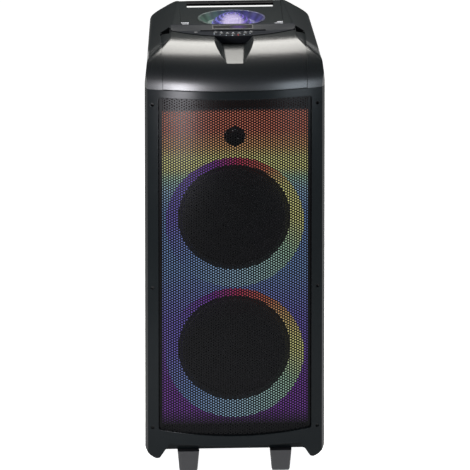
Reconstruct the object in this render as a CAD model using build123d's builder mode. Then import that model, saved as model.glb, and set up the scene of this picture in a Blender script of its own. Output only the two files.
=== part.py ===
"""Party speaker: two woofers and a tweeter behind a lit grille, on two front feet and two rear wheels.

+X is to the right, -Y is the front, +Z is up, and the origin is on the floor under the middle of the box.
All sizes are in millimetres.  A depth is measured from the foremost line of the bulged front.
"""

from build123d import *
import os
from math import asin, cos, radians, sin, sqrt

# ---- overall sizes -------------------------------------------------------------------------------
WIDTH = 364.0  # across the front pillars
DEPTH = 332.0  # bulged front to the back of the wheels
DECK_Z = 922.0  # flat top of the housing
BASE_Z = 45.0  # underside of the front frame, which is the height of the feet
HOUSING_HIGH = 87.0
SEAM_Z = DECK_Z - HOUSING_HIGH  # joint between the front frame and the top housing

# ---- front ---------------------------------------------------------------------------------------
BULGE_RISE = 26.42  # middle of the front before its sides
EDGE_CUT = 6.0  # bevel on the upright outer corners of the front
FRAME_DEPTH = 97.0
FRAME_WALL = 5.0
FRAME_TAPER = 6.0  # how much each side moves in from front to back
PILLAR_WIDTH = 27.5
CAVITY_MARGIN = 18.0
CAVITY_LOW_Z = 76.0
CAVITY_ROOF = 9.0
BROW_HIGH = 17.0  # frame above the opening
OPENING_LOW_Z = 100.6  # at its corners
OPENING_SAG = 9.0  # how much lower the opening is in the middle
OPENING_CORNER = 6.0
HORN_IN = 24.0  # tip of a horn, in from the side
HORN_Z = 38.0
HORN_START_Z = 64.0
HORN_FOOT = 20.0
ARCH_Z = 71.0
ARCH_MARGIN = 25.0
ARCH_DEPTH = 52.0
GRILLE_THICK = 1.0
GRILLE_LAP = 6.0
LIGHT_IN = 30.0  # depth of the light panel's face
LIGHT_THICK = 2.5
LIGHT_LOW_Z = 107.0
LIGHT_TOP_MARGIN = 45.0

# ---- drivers -------------------------------------------------------------------------------------
BAFFLE_IN = 63.0  # depth of the baffle's face
BAFFLE_THICK = 12.0
WOOFER_Z = (261.0, 543.6)  # lower and upper
RING_RADIUS = 139.4  # outer radius of a light ring
BASKET_HOLE = 115.0
PLATE_IN = 49.0  # magnet plate of a basket inside its hole
DUST_CAP_OVER = 11.2  # dust cap outside the voice coil
PULP_DEEP = 2.2  # cone's wall along its axis
COIL_FRONT = 41.4  # cone's neck behind the baffle's face
FLANGE_LAP = 13.0
COIL_RADIUS = 25.3
TWEETER_Z = 729.0
MOUTH_RADIUS = 21.2

# ---- cabinet -------------------------------------------------------------------------------------
AXLE_ROOM = 11.0  # from the axle's middle up to the cabinet
WHEEL_OVERHANG = 25.0  # wheels behind the cabinet
CABINET_TAPER = 9.0
CABINET_WALL = 12.0
REAR_CORNER = 24.0
PANEL_WIDTH = 262.0
PANEL_LOW_Z = 150.0
PANEL_TOP_MARGIN = 43.0
PANEL_THICK = 3.0
PANEL_LAP = 12.0
PANEL_CORNER = 8.0
PORT_Z = 700.0
PORT_RADIUS = 37.0
PORT_LENGTH = 130.0
INLET_Z = 250.0
ROCKER_Z = 300.0
ROCKER_TILT = 8.0  # degrees, either side of the middle
RIBS_Z = 400.0
JACK_Z = 520.0
JACK_PITCH = 34.0
JACK_RADIUS = 3.25
JACK_BARREL = 5.0
USB_DROP = 40.0  # USB socket below the jacks
AMP_Z = 380.0
AMP_STANDOFF = 40.0

# ---- top housing ---------------------------------------------------------------------------------
HOUSING_WALL = 6.0
FOREHEAD_STEP = 2.5
CHEEK_WIDTH = 36.0
SHOULDER_DROP = 33.0
SHOULDER_IN = 3.0
SHOULDER_IN_BACK = 2.0
SHOULDER_RADIUS = 12.0
SIDE_RISE = 10.0  # straight side above the seam
SIDE_SPREAD = 2.0  # slant of the shoulders starts this far outside the front corners
DECK_IN_FRONT = 43.0
DECK_HALF = 105.0  # at the back
SINK_HALF = 103.0
DECK_SINK = 2.5
CONSOLE_FRONT = 92.0
CONSOLE_BACK = 148.0
CONSOLE_HALF = 125.0
CONSOLE_SEAT = 17.0
CONSOLE_RISE = 4.5
CONSOLE_LID = 8.0
CONSOLE_BOW = 38.0
LIP_DROP = 1.0
SLOT_FRONT = 121.0
SLOT_GAP = 6.5
SLOT_WIDTH = 132.0
SLOT_DEPTH = 6.5
DISPLAY_WIDTH = 79.0
DISPLAY_HEIGHT = 10.0
DISPLAY_THICK = 1.6
BUTTON_RADIUS = 3.8
BUTTON_PITCH = 12.0
BUTTON_TRAVEL = 1.2
BUTTON_RISE = 1.2
ROUND_BUTTON_X = -75.0
POCKET_DROP = 21.0
DOME_IN = 200.0
DOME_RADIUS = 40.0
DOME_SINK = 13.0
DOME_RISE = 8.0
BOWL_SPREAD = 21.0  # how much longer the bowl is than wide, each side
BOWL_RIM = 4.5
GRIP_INSET = 9.0
GRIP_DROP = 6.3
GRIP_HALF = 87.5
GRIP_HIGH = 7.0
GRIP_DEEP = 16.0
GRIP_PIN = 2.8
GRIP_PIN_LONG = 6.0
HAND_LONG = 42.0
HAND_DEEP = 56.0

# ---- feet and wheels -----------------------------------------------------------------------------
FOOT_X = 93.5
FOOT_IN = 57.0
PAD_THICK = 3.0
WHEEL_RADIUS = 42.0
WHEEL_WIDTH = 28.0
WHEEL_X = 145.0
AXLE_RADIUS = 5.0
AXLE_CAP = 9.0
RUNNING_GAP = 0.05
BRACKET_X = 112.0
WELL_GAP = 12.0  # above and in front of a wheel

# ---- clearances ----------------------------------------------------------------------------------
FIT = 0.3  # between pieces that only lie near each other
PIN_FIT = 0.05  # radial, round screws and spigots
END_PLAY = 0.5

# ---- places worked out from the sizes ------------------------------------------------------------
CABINET_LOW_Z = WHEEL_RADIUS + AXLE_ROOM
FRONT_Y = -DEPTH / 2
BULGE_RADIUS = (WIDTH**2 / 4 + BULGE_RISE**2) / (2 * BULGE_RISE)  # in plan
BULGE_Y = FRONT_Y + BULGE_RADIUS
BAFFLE_Y = FRONT_Y + BAFFLE_IN
LIGHT_Y = FRONT_Y + LIGHT_IN
FRAME_BACK_Y = FRONT_Y + FRAME_DEPTH
BACK_Y = DEPTH / 2 - WHEEL_OVERHANG
DOME_Y = FRONT_Y + DOME_IN
GRIP_Y = BACK_Y - GRIP_INSET
WHEEL_Y = DEPTH / 2 - WHEEL_RADIUS
BAFFLE_BACK_Y = BAFFLE_Y + BAFFLE_THICK
OPENING_WIDTH = WIDTH - 2 * PILLAR_WIDTH
OPENING_TOP_Z = SEAM_Z - BROW_HIGH
FRAME_BACK_WIDTH = WIDTH - 2 * FRAME_TAPER
CAVITY_WIDTH = WIDTH - 2 * CAVITY_MARGIN
CAVITY_TOP_Z = SEAM_Z - CAVITY_ROOF
LIGHT_TOP_Z = SEAM_Z - LIGHT_TOP_MARGIN
HORN_X = WIDTH / 2 - HORN_IN
BAFFLE_WIDTH = FRAME_BACK_WIDTH - 2 * FRAME_WALL
CABINET_BACK_WIDTH = BAFFLE_WIDTH - 2 * CABINET_TAPER
PANEL_TOP_Z = SEAM_Z - PANEL_TOP_MARGIN
PANEL_Z = (PANEL_LOW_Z + PANEL_TOP_Z) / 2
RING_INNER = BASKET_HOLE - 1.4
FLANGE_RADIUS = BASKET_HOLE + FLANGE_LAP
WOOFER_SCREW_PCD = 2 * (BASKET_HOLE + FLANGE_LAP / 2 - 0.5)
SHOULDER_Z = DECK_Z - SHOULDER_DROP
CHEEK_X = WIDTH / 2 - CHEEK_WIDTH
SINK_Z = DECK_Z - DECK_SINK
CONSOLE_FLOOR_Z = DECK_Z - CONSOLE_SEAT
CONSOLE_TOP_Z = DECK_Z + CONSOLE_RISE
CONSOLE_BACK_Y = FRONT_Y + CONSOLE_BACK
LIP_Z = DECK_Z - LIP_DROP
DOME_LOW_Z = DECK_Z - DOME_SINK
DOME_TOP_Z = DECK_Z + DOME_RISE
BOWL_HALF_Y = DOME_RADIUS + BOWL_RIM
BOWL_HALF_X = BOWL_HALF_Y + BOWL_SPREAD
GRIP_Z = DECK_Z - GRIP_DROP
HAND_FRONT_Y = BACK_Y - HAND_LONG
HAND_LOW_Z = DECK_Z - HAND_DEEP
WELL_TOP_Z = 2 * WHEEL_RADIUS + WELL_GAP
WELL_FRONT_Y = DEPTH / 2 - 2 * WHEEL_RADIUS - WELL_GAP
WELL_X = WHEEL_X - WHEEL_WIDTH / 2 - WELL_GAP


def bulge_y(x, inset=0.0):
    """Y of the bulged front at x, moved in by inset."""
    return BULGE_Y - sqrt((BULGE_RADIUS - inset) ** 2 - x**2)


def slab(x, y_front, y_back, z_low, z_top):
    """A plain block from -x to x, as a tool."""
    with BuildPart() as block:
        with BuildSketch(Plane.XY.offset(z_low)):
            with Locations((0, (y_front + y_back) / 2)):
                Rectangle(2 * x, y_back - y_front)
        extrude(amount=z_top - z_low)
    return block.part


def turned(points, centre_z, centre_x=0.0):
    """A closed outline of (radius, y) points turned about a front-to-back axis."""
    with BuildPart() as body:
        with BuildSketch(Plane.XY.offset(centre_z)):
            with BuildLine():
                Polyline(*[(centre_x + r, y) for r, y in points], close=True)
            make_face()
        revolve(axis=Axis((centre_x, 0, centre_z), (0, 1, 0)))
    return body.part


def cap_arc(apex, rim_radius, sag):
    """Apex, middle and rim of an arc centred on the axis, so that it turns into part of a sphere."""
    radius = (rim_radius**2 + sag**2) / (2 * abs(sag))
    half = asin(rim_radius / radius) / 2
    rise = radius * (1 - cos(half)) * (1 if sag > 0 else -1)
    return [(0, apex), (radius * sin(half), apex + rise), (rim_radius, apex + sag)]


def from_baffle(*points):
    """(radius, depth behind the baffle's face) points as (radius, y)."""
    return [(r, BAFFLE_Y + depth) for r, depth in points]


# ---- front frame, grille and lights --------------------------------------------------------------
def front_plan(half_front, half_back, y_back, inset):
    """Plan outline with the bulged front."""
    side_y = bulge_y(half_front, inset)
    with BuildSketch() as plan:
        with BuildLine():
            ThreePointArc((-half_front, side_y), (0, bulge_y(0, inset)), (half_front, side_y))
            Polyline((half_front, side_y), (half_back, y_back), (-half_back, y_back), (-half_front, side_y))
        make_face()
    return plan.sketch


def corner_cut(inset):
    """Plan of what the bevels take off the two front corners of the form moved in by inset."""
    half = WIDTH / 2 - inset
    near = (half - EDGE_CUT, bulge_y(half - EDGE_CUT, inset))
    far = (half, bulge_y(half, inset) + 1.6 * EDGE_CUT)
    run, rise = far[0] - near[0], far[1] - near[1]
    start, end = (near[0] - 3 * run, near[1] - 3 * rise), (far[0] + 2 * run, far[1] + 2 * rise)
    with BuildSketch() as plan:
        for side in (-1, 1):
            with BuildLine():
                Polyline(
                    (side * start[0], start[1]), (side * end[0], start[1]), (side * end[0], end[1]), close=True
                )
            make_face()
    return plan.sketch


def screw_places():
    """Front view places of the screws that hold the frame to the baffle."""
    heights = (OPENING_LOW_Z + 3.4, 407.0, CAVITY_TOP_Z - 24)
    return [(side * (CAVITY_WIDTH / 2 + 2.5), z) for side in (-1, 1) for z in heights]


def front_frame():
    """Moulded bezel with two pillars, a bottom bar that ends in two horns, and walls round the baffle."""
    half = WIDTH / 2
    with BuildPart() as frame:
        with BuildSketch(Plane.XY.offset(HORN_Z)):
            add(front_plan(half, FRAME_BACK_WIDTH / 2, FRAME_BACK_Y, 0))
            add(corner_cut(0), mode=Mode.SUBTRACT)
        extrude(amount=SEAM_Z - HORN_Z)
        with BuildSketch(Plane.XZ):
            with BuildLine():
                Polyline((HORN_X - HORN_FOOT, BASE_Z), (-HORN_X + HORN_FOOT, BASE_Z), (-HORN_X, HORN_Z))
                ThreePointArc(
                    (-HORN_X, HORN_Z), (-half + 6, HORN_Z + 11), (-half, HORN_START_Z)
                )
                Polyline((-half, HORN_START_Z), (-half, SEAM_Z), (half, SEAM_Z), (half, HORN_START_Z))
                ThreePointArc((half, HORN_START_Z), (half - 6, HORN_Z + 11), (HORN_X, HORN_Z))
                Line((HORN_X, HORN_Z), (HORN_X - HORN_FOOT, BASE_Z))
            make_face()
        extrude(amount=DEPTH, both=True, mode=Mode.INTERSECT)
        with BuildSketch(Plane.XZ.offset(-FRONT_Y)):
            with BuildLine():
                Polyline(
                    (-HORN_X + ARCH_MARGIN, ARCH_Z),
                    (HORN_X - ARCH_MARGIN, ARCH_Z),
                    (HORN_X - 4, HORN_Z - 1),
                    (-HORN_X + 4, HORN_Z - 1),
                    close=True,
                )
            make_face()
        extrude(amount=-ARCH_DEPTH, mode=Mode.SUBTRACT)
        with BuildSketch(Plane.XZ.offset(-FRONT_Y)) as opening:
            corner = OPENING_WIDTH / 2
            with BuildLine():
                ThreePointArc(
                    (-corner, OPENING_LOW_Z), (0, OPENING_LOW_Z - OPENING_SAG), (corner, OPENING_LOW_Z)
                )
                Polyline(
                    (corner, OPENING_LOW_Z), (corner, OPENING_TOP_Z), (-corner, OPENING_TOP_Z),
                    (-corner, OPENING_LOW_Z),
                )
            make_face()
            fillet(opening.vertices(), OPENING_CORNER)
        extrude(amount=-LIGHT_IN, mode=Mode.SUBTRACT)
        with BuildSketch(Plane.XY.offset(CAVITY_LOW_Z)):
            add(front_plan(CAVITY_WIDTH / 2, CAVITY_WIDTH / 2, BAFFLE_Y, FRAME_WALL))
        extrude(amount=CAVITY_TOP_Z - CAVITY_LOW_Z, mode=Mode.SUBTRACT)
        with BuildSketch(Plane.XY.offset(CABINET_LOW_Z - FIT)):
            with Locations((0, (BAFFLE_Y + FRAME_BACK_Y + 1) / 2)):
                Rectangle(BAFFLE_WIDTH + 2 * FIT, FRAME_BACK_Y + 1 - BAFFLE_Y)
        extrude(amount=SEAM_Z, mode=Mode.SUBTRACT)
        with BuildSketch(Plane.XZ.offset(-FRONT_Y)):
            with Locations(*screw_places()):
                Circle(3.5)
        extrude(amount=-LIGHT_IN, mode=Mode.SUBTRACT)
        with BuildSketch(Plane.XZ.offset(-FRONT_Y)):
            with Locations(*screw_places()):
                Circle(2.0 + PIN_FIT)
        extrude(amount=-BAFFLE_IN - 1, mode=Mode.SUBTRACT)
    return frame.part


def grille():
    """Curved steel sheet behind the opening."""
    half = CAVITY_WIDTH / 2 - 4.5
    outer = FRAME_WALL + FIT
    inner = outer + GRILLE_THICK
    low = OPENING_LOW_Z - OPENING_SAG - GRILLE_LAP
    outer_y, inner_y = bulge_y(half, outer), bulge_y(half, inner)
    with BuildPart() as sheet:
        with BuildSketch(Plane.XY.offset(low)):
            with BuildLine():
                ThreePointArc((-half, outer_y), (0, bulge_y(0, outer)), (half, outer_y))
                Line((half, outer_y), (half, inner_y))
                ThreePointArc((half, inner_y), (0, bulge_y(0, inner)), (-half, inner_y))
                Line((-half, inner_y), (-half, outer_y))
            make_face()
        extrude(amount=OPENING_TOP_Z + GRILLE_LAP - low)
    return sheet.part


def light_panel():
    """Flat opal panel with holes for the rings and the horn."""
    with BuildPart() as panel:
        with BuildSketch(Plane.XZ.offset(-LIGHT_Y)):
            with Locations((0, (LIGHT_LOW_Z + LIGHT_TOP_Z) / 2)):
                Rectangle(CAVITY_WIDTH - 2 * FIT, LIGHT_TOP_Z - LIGHT_LOW_Z)
            with Locations(*[(0, z) for z in WOOFER_Z]):
                Circle(RING_RADIUS + 0.2, mode=Mode.SUBTRACT)
            with Locations((0, TWEETER_Z)):
                Circle(MOUTH_RADIUS + 0.2, mode=Mode.SUBTRACT)
        extrude(amount=-LIGHT_THICK)
    return panel.part


def light_ring(centre_z):
    """Opal funnel from the light panel to the woofer's flange."""
    face = LIGHT_IN - BAFFLE_IN
    back = face + LIGHT_THICK
    lip = RING_RADIUS + 1.6
    return turned(
        from_baffle(
            (RING_RADIUS - 1.5, face), (RING_RADIUS, face), (RING_RADIUS, back), (lip, back), (lip, back + 2),
            (RING_RADIUS - 0.4, back + 2), (RING_INNER + 2.4, -5), (RING_INNER + 2.4, -2),
            (RING_INNER, -2), (RING_INNER, -6),
        ),
        centre_z,
    )


def led_strips():
    """Two light strips on the baffle, one behind each edge of the light panel, with their lamps."""
    with BuildPart() as strips:
        for side in (-1, 1):
            with BuildSketch(Plane.XZ.offset(-BAFFLE_Y)):
                with Locations((side * (CAVITY_WIDTH / 2 - 9), (LIGHT_LOW_Z + LIGHT_TOP_Z) / 2)):
                    Rectangle(10, LIGHT_TOP_Z - LIGHT_LOW_Z - 20)
            extrude(amount=1.6)
            with BuildSketch(Plane.XZ.offset(-BAFFLE_Y + 1.6)):
                with Locations((side * (CAVITY_WIDTH / 2 - 9), (LIGHT_LOW_Z + LIGHT_TOP_Z) / 2)):
                    with GridLocations(1, 33, 1, 20):
                        Rectangle(5, 5)
            extrude(amount=1.6)
    return strips.part


# ---- baffle and drivers --------------------------------------------------------------------------
def woofer_screw_places():
    """Front view places of the eight screws of each woofer."""
    radius = WOOFER_SCREW_PCD / 2
    turns = [radians(22.5 + 45 * i) for i in range(8)]
    return [(radius * cos(a), z + radius * sin(a)) for z in WOOFER_Z for a in turns]


def front_baffle():
    """Board that carries the drivers and closes the cabinet."""
    with BuildPart() as board:
        with BuildSketch(Plane.XZ.offset(-BAFFLE_Y)):
            with Locations((0, (CABINET_LOW_Z + SEAM_Z) / 2)):
                Rectangle(BAFFLE_WIDTH, SEAM_Z - CABINET_LOW_Z)
            with Locations(*[(0, z) for z in WOOFER_Z]):
                Circle(BASKET_HOLE, mode=Mode.SUBTRACT)
            with Locations((0, TWEETER_Z)):
                Circle(30, mode=Mode.SUBTRACT)
            with Locations(*woofer_screw_places()):
                Circle(2.0 + PIN_FIT, mode=Mode.SUBTRACT)
            with Locations(*screw_places()):
                Circle(2.0 + PIN_FIT, mode=Mode.SUBTRACT)
        extrude(amount=-BAFFLE_THICK)
    return board.part


def basket(centre_z):
    """Pressed steel frame with six windows, a flange in front and a plate for the magnet behind."""
    hole = BASKET_HOLE
    neck = COIL_RADIUS + 1.7
    plate = hole - PLATE_IN
    window = 0.838 * (hole - 41)  # across the narrow end of a window
    with BuildPart() as frame:
        add(
            turned(
                from_baffle(
                    (hole - 11, -2), (FLANGE_RADIUS, -2), (FLANGE_RADIUS, 0), (hole - 1, 0), (hole - 1, 12),
                    (plate, 48), (plate, 66), (neck, 66), (neck, 63), (plate - 3, 63), (plate - 3, 46.5),
                    (hole - 4, 10.5),
                    (hole - 4, 1), (hole - 11, 1),
                ),
                centre_z,
            )
        )
        with BuildSketch(Plane(origin=(0, BAFFLE_Y + 4, centre_z), x_dir=(1, 0, 0), z_dir=(0, -1, 0))):
            with PolarLocations(hole - 26, 6):
                RectangleRounded(30, window, 8)
        extrude(amount=-60, mode=Mode.SUBTRACT)
        with BuildSketch(Plane(origin=(0, BAFFLE_Y - 3, centre_z), x_dir=(1, 0, 0), z_dir=(0, -1, 0))):
            with PolarLocations(WOOFER_SCREW_PCD / 2, 8, start_angle=22.5):
                Circle(2.0 + PIN_FIT)
        extrude(amount=-4, mode=Mode.SUBTRACT)
    return frame.part


def cone(centre_z):
    """Paper cone with its dust cap."""
    edge = BASKET_HOLE - 18
    neck = COIL_RADIUS + 0.2
    slope = (COIL_FRONT + 1.4) / (edge - neck - 1.1)
    cap = COIL_RADIUS + DUST_CAP_OVER
    cap_y = COIL_FRONT - (cap - neck - 1.1) * slope - PULP_DEEP
    inside = cap - 1.6
    inside_y = cap_y + PULP_DEEP - 0.8
    with BuildPart() as paper:
        with BuildSketch(Plane.XY.offset(centre_z)):
            with BuildLine():
                ThreePointArc(*cap_arc(BAFFLE_Y + cap_y - 11.2, cap, 11.2))
                Polyline(
                    *from_baffle(
                        (cap, cap_y), (edge - 1, -3), (edge, -3), (edge, -1.4), (neck + 1.1, COIL_FRONT),
                        (neck, COIL_FRONT), (neck, COIL_FRONT - 1.2), (inside, inside_y),
                    )
                )
                ThreePointArc(*cap_arc(BAFFLE_Y + inside_y - 11.4, inside, 11.4))
                Line((0, BAFFLE_Y + inside_y - 11.4), (0, BAFFLE_Y + cap_y - 11.2))
            make_face()
        revolve(axis=Axis((0, 0, centre_z), (0, 1, 0)))
    return paper.part


def surround(centre_z):
    """Rubber half roll between the cone and the flange."""
    y = BAFFLE_Y - 3
    inner = BASKET_HOLE - 17.8
    roll = inner + 0.8
    outer = roll + 11
    middle = (roll + outer) / 2
    with BuildPart() as rubber:
        with BuildSketch(Plane.XY.offset(centre_z)):
            with BuildLine():
                Polyline((inner, y), (roll, y))
                ThreePointArc((roll, y), (middle, y - 5.5), (outer, y))
                Polyline((outer, y), (outer + 4, y), (outer + 4, y + 1), (outer - 1, y + 1), (outer - 1, y))
                ThreePointArc((outer - 1, y), (middle, y - 4.5), (roll + 1, y))
                Polyline((roll + 1, y), (roll + 1, y + 1), (inner, y + 1), (inner, y))
            make_face()
        revolve(axis=Axis((0, 0, centre_z), (0, 1, 0)))
    return rubber.part


def voice_coil(centre_z):
    """Former with its winding."""
    inner = COIL_RADIUS - 0.8
    return turned(from_baffle((inner, 40.5), (COIL_RADIUS, 40.5), (COIL_RADIUS, 84), (inner, 84)), centre_z)


def spider(centre_z):
    """Corrugated cloth disc that centres the coil."""
    inner, outer, waves, depth = COIL_RADIUS + 0.2, BASKET_HOLE - PLATE_IN - 3.2, 5, 52
    step = (outer - inner) / (2 * waves)
    front = [(inner + step * i, depth + (1.6 if i % 2 else 0)) for i in range(2 * waves + 1)]
    rear = [(r, d + 0.8) for r, d in reversed(front)]
    return turned(from_baffle(*front, *rear), centre_z)


def magnet(centre_z):
    """Front plate, ferrite ring, back plate and pole piece as one block, with the coil's gap."""
    pole = COIL_RADIUS - 1.5
    gap = COIL_RADIUS + 1
    plate = BASKET_HOLE - PLATE_IN
    return turned(
        from_baffle(
            (0, 66), (pole, 66), (pole, 92), (gap + 6, 92), (gap + 6, 74), (gap, 74), (gap, 66), (plate - 6, 66),
            (plate - 6, 74), (plate + 2, 74), (plate + 2, 92), (plate, 92), (plate, 100), (0, 100),
        ),
        centre_z,
    )


def tweeter_horn():
    """Round horn from the light panel to the tweeter."""
    face = LIGHT_IN - BAFFLE_IN
    return turned(
        from_baffle(
            (MOUTH_RADIUS - 1.4, face), (MOUTH_RADIUS, face), (MOUTH_RADIUS, face + 5), (15.5, -8), (15.5, -3),
            (42, -3), (42, 0), (13, 0), (13, -6),
        ),
        TWEETER_Z,
    )


def tweeter_dome():
    """Soft dome in the horn's throat."""
    with BuildPart() as dome:
        with BuildSketch(Plane.XY.offset(TWEETER_Z)):
            with BuildLine():
                ThreePointArc(*cap_arc(BAFFLE_Y - 4, 12.3, 6))
                Polyline(*from_baffle((12.3, 2), (12.7, 2), (12.7, 2.8), (11.6, 2.8)))
                ThreePointArc(*cap_arc(BAFFLE_Y - 3.2, 11.6, 6))
                Line((0, BAFFLE_Y - 3.2), (0, BAFFLE_Y - 4))
            make_face()
        revolve(axis=Axis((0, 0, TWEETER_Z), (0, 1, 0)))
    return dome.part


def tweeter_motor():
    """Plate and magnet behind the tweeter's dome."""
    return turned(
        from_baffle((0, 3), (13.2, 3), (13.2, 0), (29.5, 0), (29.5, 7), (27, 7), (27, 26), (0, 26)), TWEETER_Z
    )


def pan_screws(places, seat_y, length, head_radius, head_high):
    """Screws along Y with a flat head in front of seat_y."""
    with BuildPart() as screws:
        with BuildSketch(Plane.XZ.offset(-seat_y)):
            with Locations(*places):
                Circle(2.0)
        extrude(amount=-length)
        with BuildSketch(Plane.XZ.offset(-seat_y)):
            with Locations(*places):
                Circle(head_radius)
        extrude(amount=head_high)
        heads = screws.faces().filter_by(Axis.Y).group_by(Axis.Y)[0]
        with BuildSketch(Plane.XZ.offset(-heads[0].center().Y)):
            with Locations(*places):
                Rectangle(1.0, head_radius)
                Rectangle(head_radius, 1.0)
        extrude(amount=-1.0, mode=Mode.SUBTRACT)
    return screws.part


def woofer_screws():
    """Sixteen screws through the baskets' flanges into the baffle."""
    return pan_screws(woofer_screw_places(), BAFFLE_Y - 2, 14, 4.0, 2.4)


def frame_screws():
    """Six screws at the bottom of the pillars' holes, into the baffle."""
    return pan_screws(screw_places(), FRONT_Y + LIGHT_IN, BAFFLE_IN + 10 - LIGHT_IN, 3.3, 2.4)


# ---- cabinet -------------------------------------------------------------------------------------
def cabinet_plan(inset, y_front, y_back):
    """Plan of the cabinet, narrower towards the back."""
    front = BAFFLE_WIDTH / 2 - inset
    back = CABINET_BACK_WIDTH / 2 - inset
    with BuildSketch() as plan:
        with BuildLine():
            Polyline(
                (-front, y_front), (front, y_front), (front, FRAME_BACK_Y), (back, y_back), (-back, y_back),
                (-front, FRAME_BACK_Y), close=True,
            )
        make_face()
    return plan.sketch


def cabinet_shell():
    """Sealed box with an open front for the baffle, a rear opening, and a well for each wheel."""
    with BuildPart() as shell:
        with BuildSketch(Plane.XY.offset(CABINET_LOW_Z)):
            add(cabinet_plan(0, BAFFLE_BACK_Y, BACK_Y))
        extrude(amount=SEAM_Z - CABINET_LOW_Z)
        fillet(shell.edges().filter_by(Axis.Z).group_by(Axis.Y)[-1], REAR_CORNER)
        with BuildSketch(Plane.XY.offset(CABINET_LOW_Z + CABINET_WALL)):
            add(cabinet_plan(CABINET_WALL, BAFFLE_BACK_Y, BACK_Y - CABINET_WALL))
        extrude(amount=SEAM_Z - CABINET_LOW_Z - 2 * CABINET_WALL, mode=Mode.SUBTRACT)
        for side in (-1, 1):
            with BuildSketch(Plane.XY.offset(CABINET_LOW_Z)):
                well = (WELL_X - CABINET_WALL + WIDTH / 4, WELL_FRONT_Y - CABINET_WALL + DEPTH / 4)
                with Locations((side * well[0], well[1])):
                    Rectangle(WIDTH / 2, DEPTH / 2)
            extrude(amount=WELL_TOP_Z + CABINET_WALL - CABINET_LOW_Z)
        with BuildSketch(Plane.XY.offset(CABINET_LOW_Z)):
            add(cabinet_plan(0, BAFFLE_BACK_Y, BACK_Y))
        extrude(amount=SEAM_Z - CABINET_LOW_Z, mode=Mode.INTERSECT)
        for side in (-1, 1):
            with BuildSketch(Plane.XY.offset(CABINET_LOW_Z - 1)):
                with Locations((side * (WELL_X + WIDTH / 4), WELL_FRONT_Y + DEPTH / 4)):
                    Rectangle(WIDTH / 2, DEPTH / 2)
            extrude(amount=WELL_TOP_Z + 1 - CABINET_LOW_Z, mode=Mode.SUBTRACT)
        with BuildSketch(Plane.XZ.offset(-BACK_Y)):
            with Locations((0, PANEL_Z)):
                RectangleRounded(PANEL_WIDTH + 2 * FIT, PANEL_TOP_Z - PANEL_LOW_Z + 2 * FIT, PANEL_CORNER)
        extrude(amount=PANEL_THICK, mode=Mode.SUBTRACT)
        with BuildSketch(Plane.XZ.offset(-BACK_Y)):
            with Locations((0, PANEL_Z)):
                Rectangle(PANEL_WIDTH - 2 * PANEL_LAP, PANEL_TOP_Z - PANEL_LOW_Z - 2 * PANEL_LAP)
        extrude(amount=CABINET_WALL + 1, mode=Mode.SUBTRACT)
        with BuildSketch(Plane.XZ.offset(-BACK_Y)):
            with Locations(*panel_screw_places()):
                Circle(2.0 + PIN_FIT)
        extrude(amount=CABINET_WALL + 1, mode=Mode.SUBTRACT)
    return shell.part


def panel_screw_places():
    """Rear view places of the panel's screws."""
    half = PANEL_WIDTH / 2 - PANEL_LAP / 2
    low = PANEL_LOW_Z + PANEL_LAP / 2
    high = PANEL_TOP_Z - PANEL_LAP / 2
    rows = [low, low + (high - low) / 3, low + 2 * (high - low) / 3, high]
    return [(side * half, z) for side in (-1, 1) for z in rows]


def jack_places():
    """Rear view places of the two microphone jacks and the line jack."""
    return [((i - 1) * JACK_PITCH, JACK_Z) for i in range(3)]


def rear_panel():
    """Panel with holes for the port, jacks, USB socket, rocker and mains inlet."""
    with BuildPart() as panel:
        with BuildSketch(Plane.XZ.offset(-BACK_Y)):
            with Locations((0, PANEL_Z)):
                RectangleRounded(PANEL_WIDTH, PANEL_TOP_Z - PANEL_LOW_Z, PANEL_CORNER)
            with Locations((0, PORT_Z)):
                Circle(PORT_RADIUS + PIN_FIT, mode=Mode.SUBTRACT)
            with Locations(*jack_places()):
                Circle(JACK_BARREL + PIN_FIT, mode=Mode.SUBTRACT)
            with Locations((0, JACK_Z - USB_DROP)):
                Rectangle(18.2, 10.2, mode=Mode.SUBTRACT)
            with Locations((0, ROCKER_Z)):
                Rectangle(22.2, 15.2, mode=Mode.SUBTRACT)
            with Locations((0, INLET_Z)):
                Rectangle(28.2, 20.2, mode=Mode.SUBTRACT)
            with Locations(*panel_screw_places()):
                Circle(2.0 + PIN_FIT, mode=Mode.SUBTRACT)
        extrude(amount=PANEL_THICK)
        with BuildSketch(Plane.XZ.offset(-BACK_Y)):
            with Locations((0, RIBS_Z)):
                with GridLocations(1, 9, 1, 12):
                    RectangleRounded(120, 4, 1.9)
        extrude(amount=1.2, mode=Mode.SUBTRACT)
    return panel.part


def rear_panel_screws():
    """Eight screws of the rear panel."""
    with BuildPart() as screws:
        with BuildSketch(Plane.XZ.offset(-BACK_Y)):
            with Locations(*panel_screw_places()):
                Circle(2.0)
        extrude(amount=CABINET_WALL)
        with BuildSketch(Plane.XZ.offset(-BACK_Y)):
            with Locations(*panel_screw_places()):
                Circle(3.8)
                Rectangle(1.0, 4.0, mode=Mode.SUBTRACT)
                Rectangle(4.0, 1.0, mode=Mode.SUBTRACT)
        extrude(amount=-2.0)
    return screws.part


def port_tube():
    """Bass port with a flared mouth."""
    mouth = BACK_Y - BAFFLE_Y
    return turned(
        from_baffle(
            (PORT_RADIUS - 3, mouth - PORT_LENGTH), (PORT_RADIUS, mouth - PORT_LENGTH), (PORT_RADIUS, mouth),
            (PORT_RADIUS + 6, mouth), (PORT_RADIUS + 6, mouth + 1.5), (PORT_RADIUS + 3, mouth + 2.5),
            (PORT_RADIUS - 1, mouth + 1), (PORT_RADIUS - 3, mouth - 6),
        ),
        PORT_Z,
    )


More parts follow.
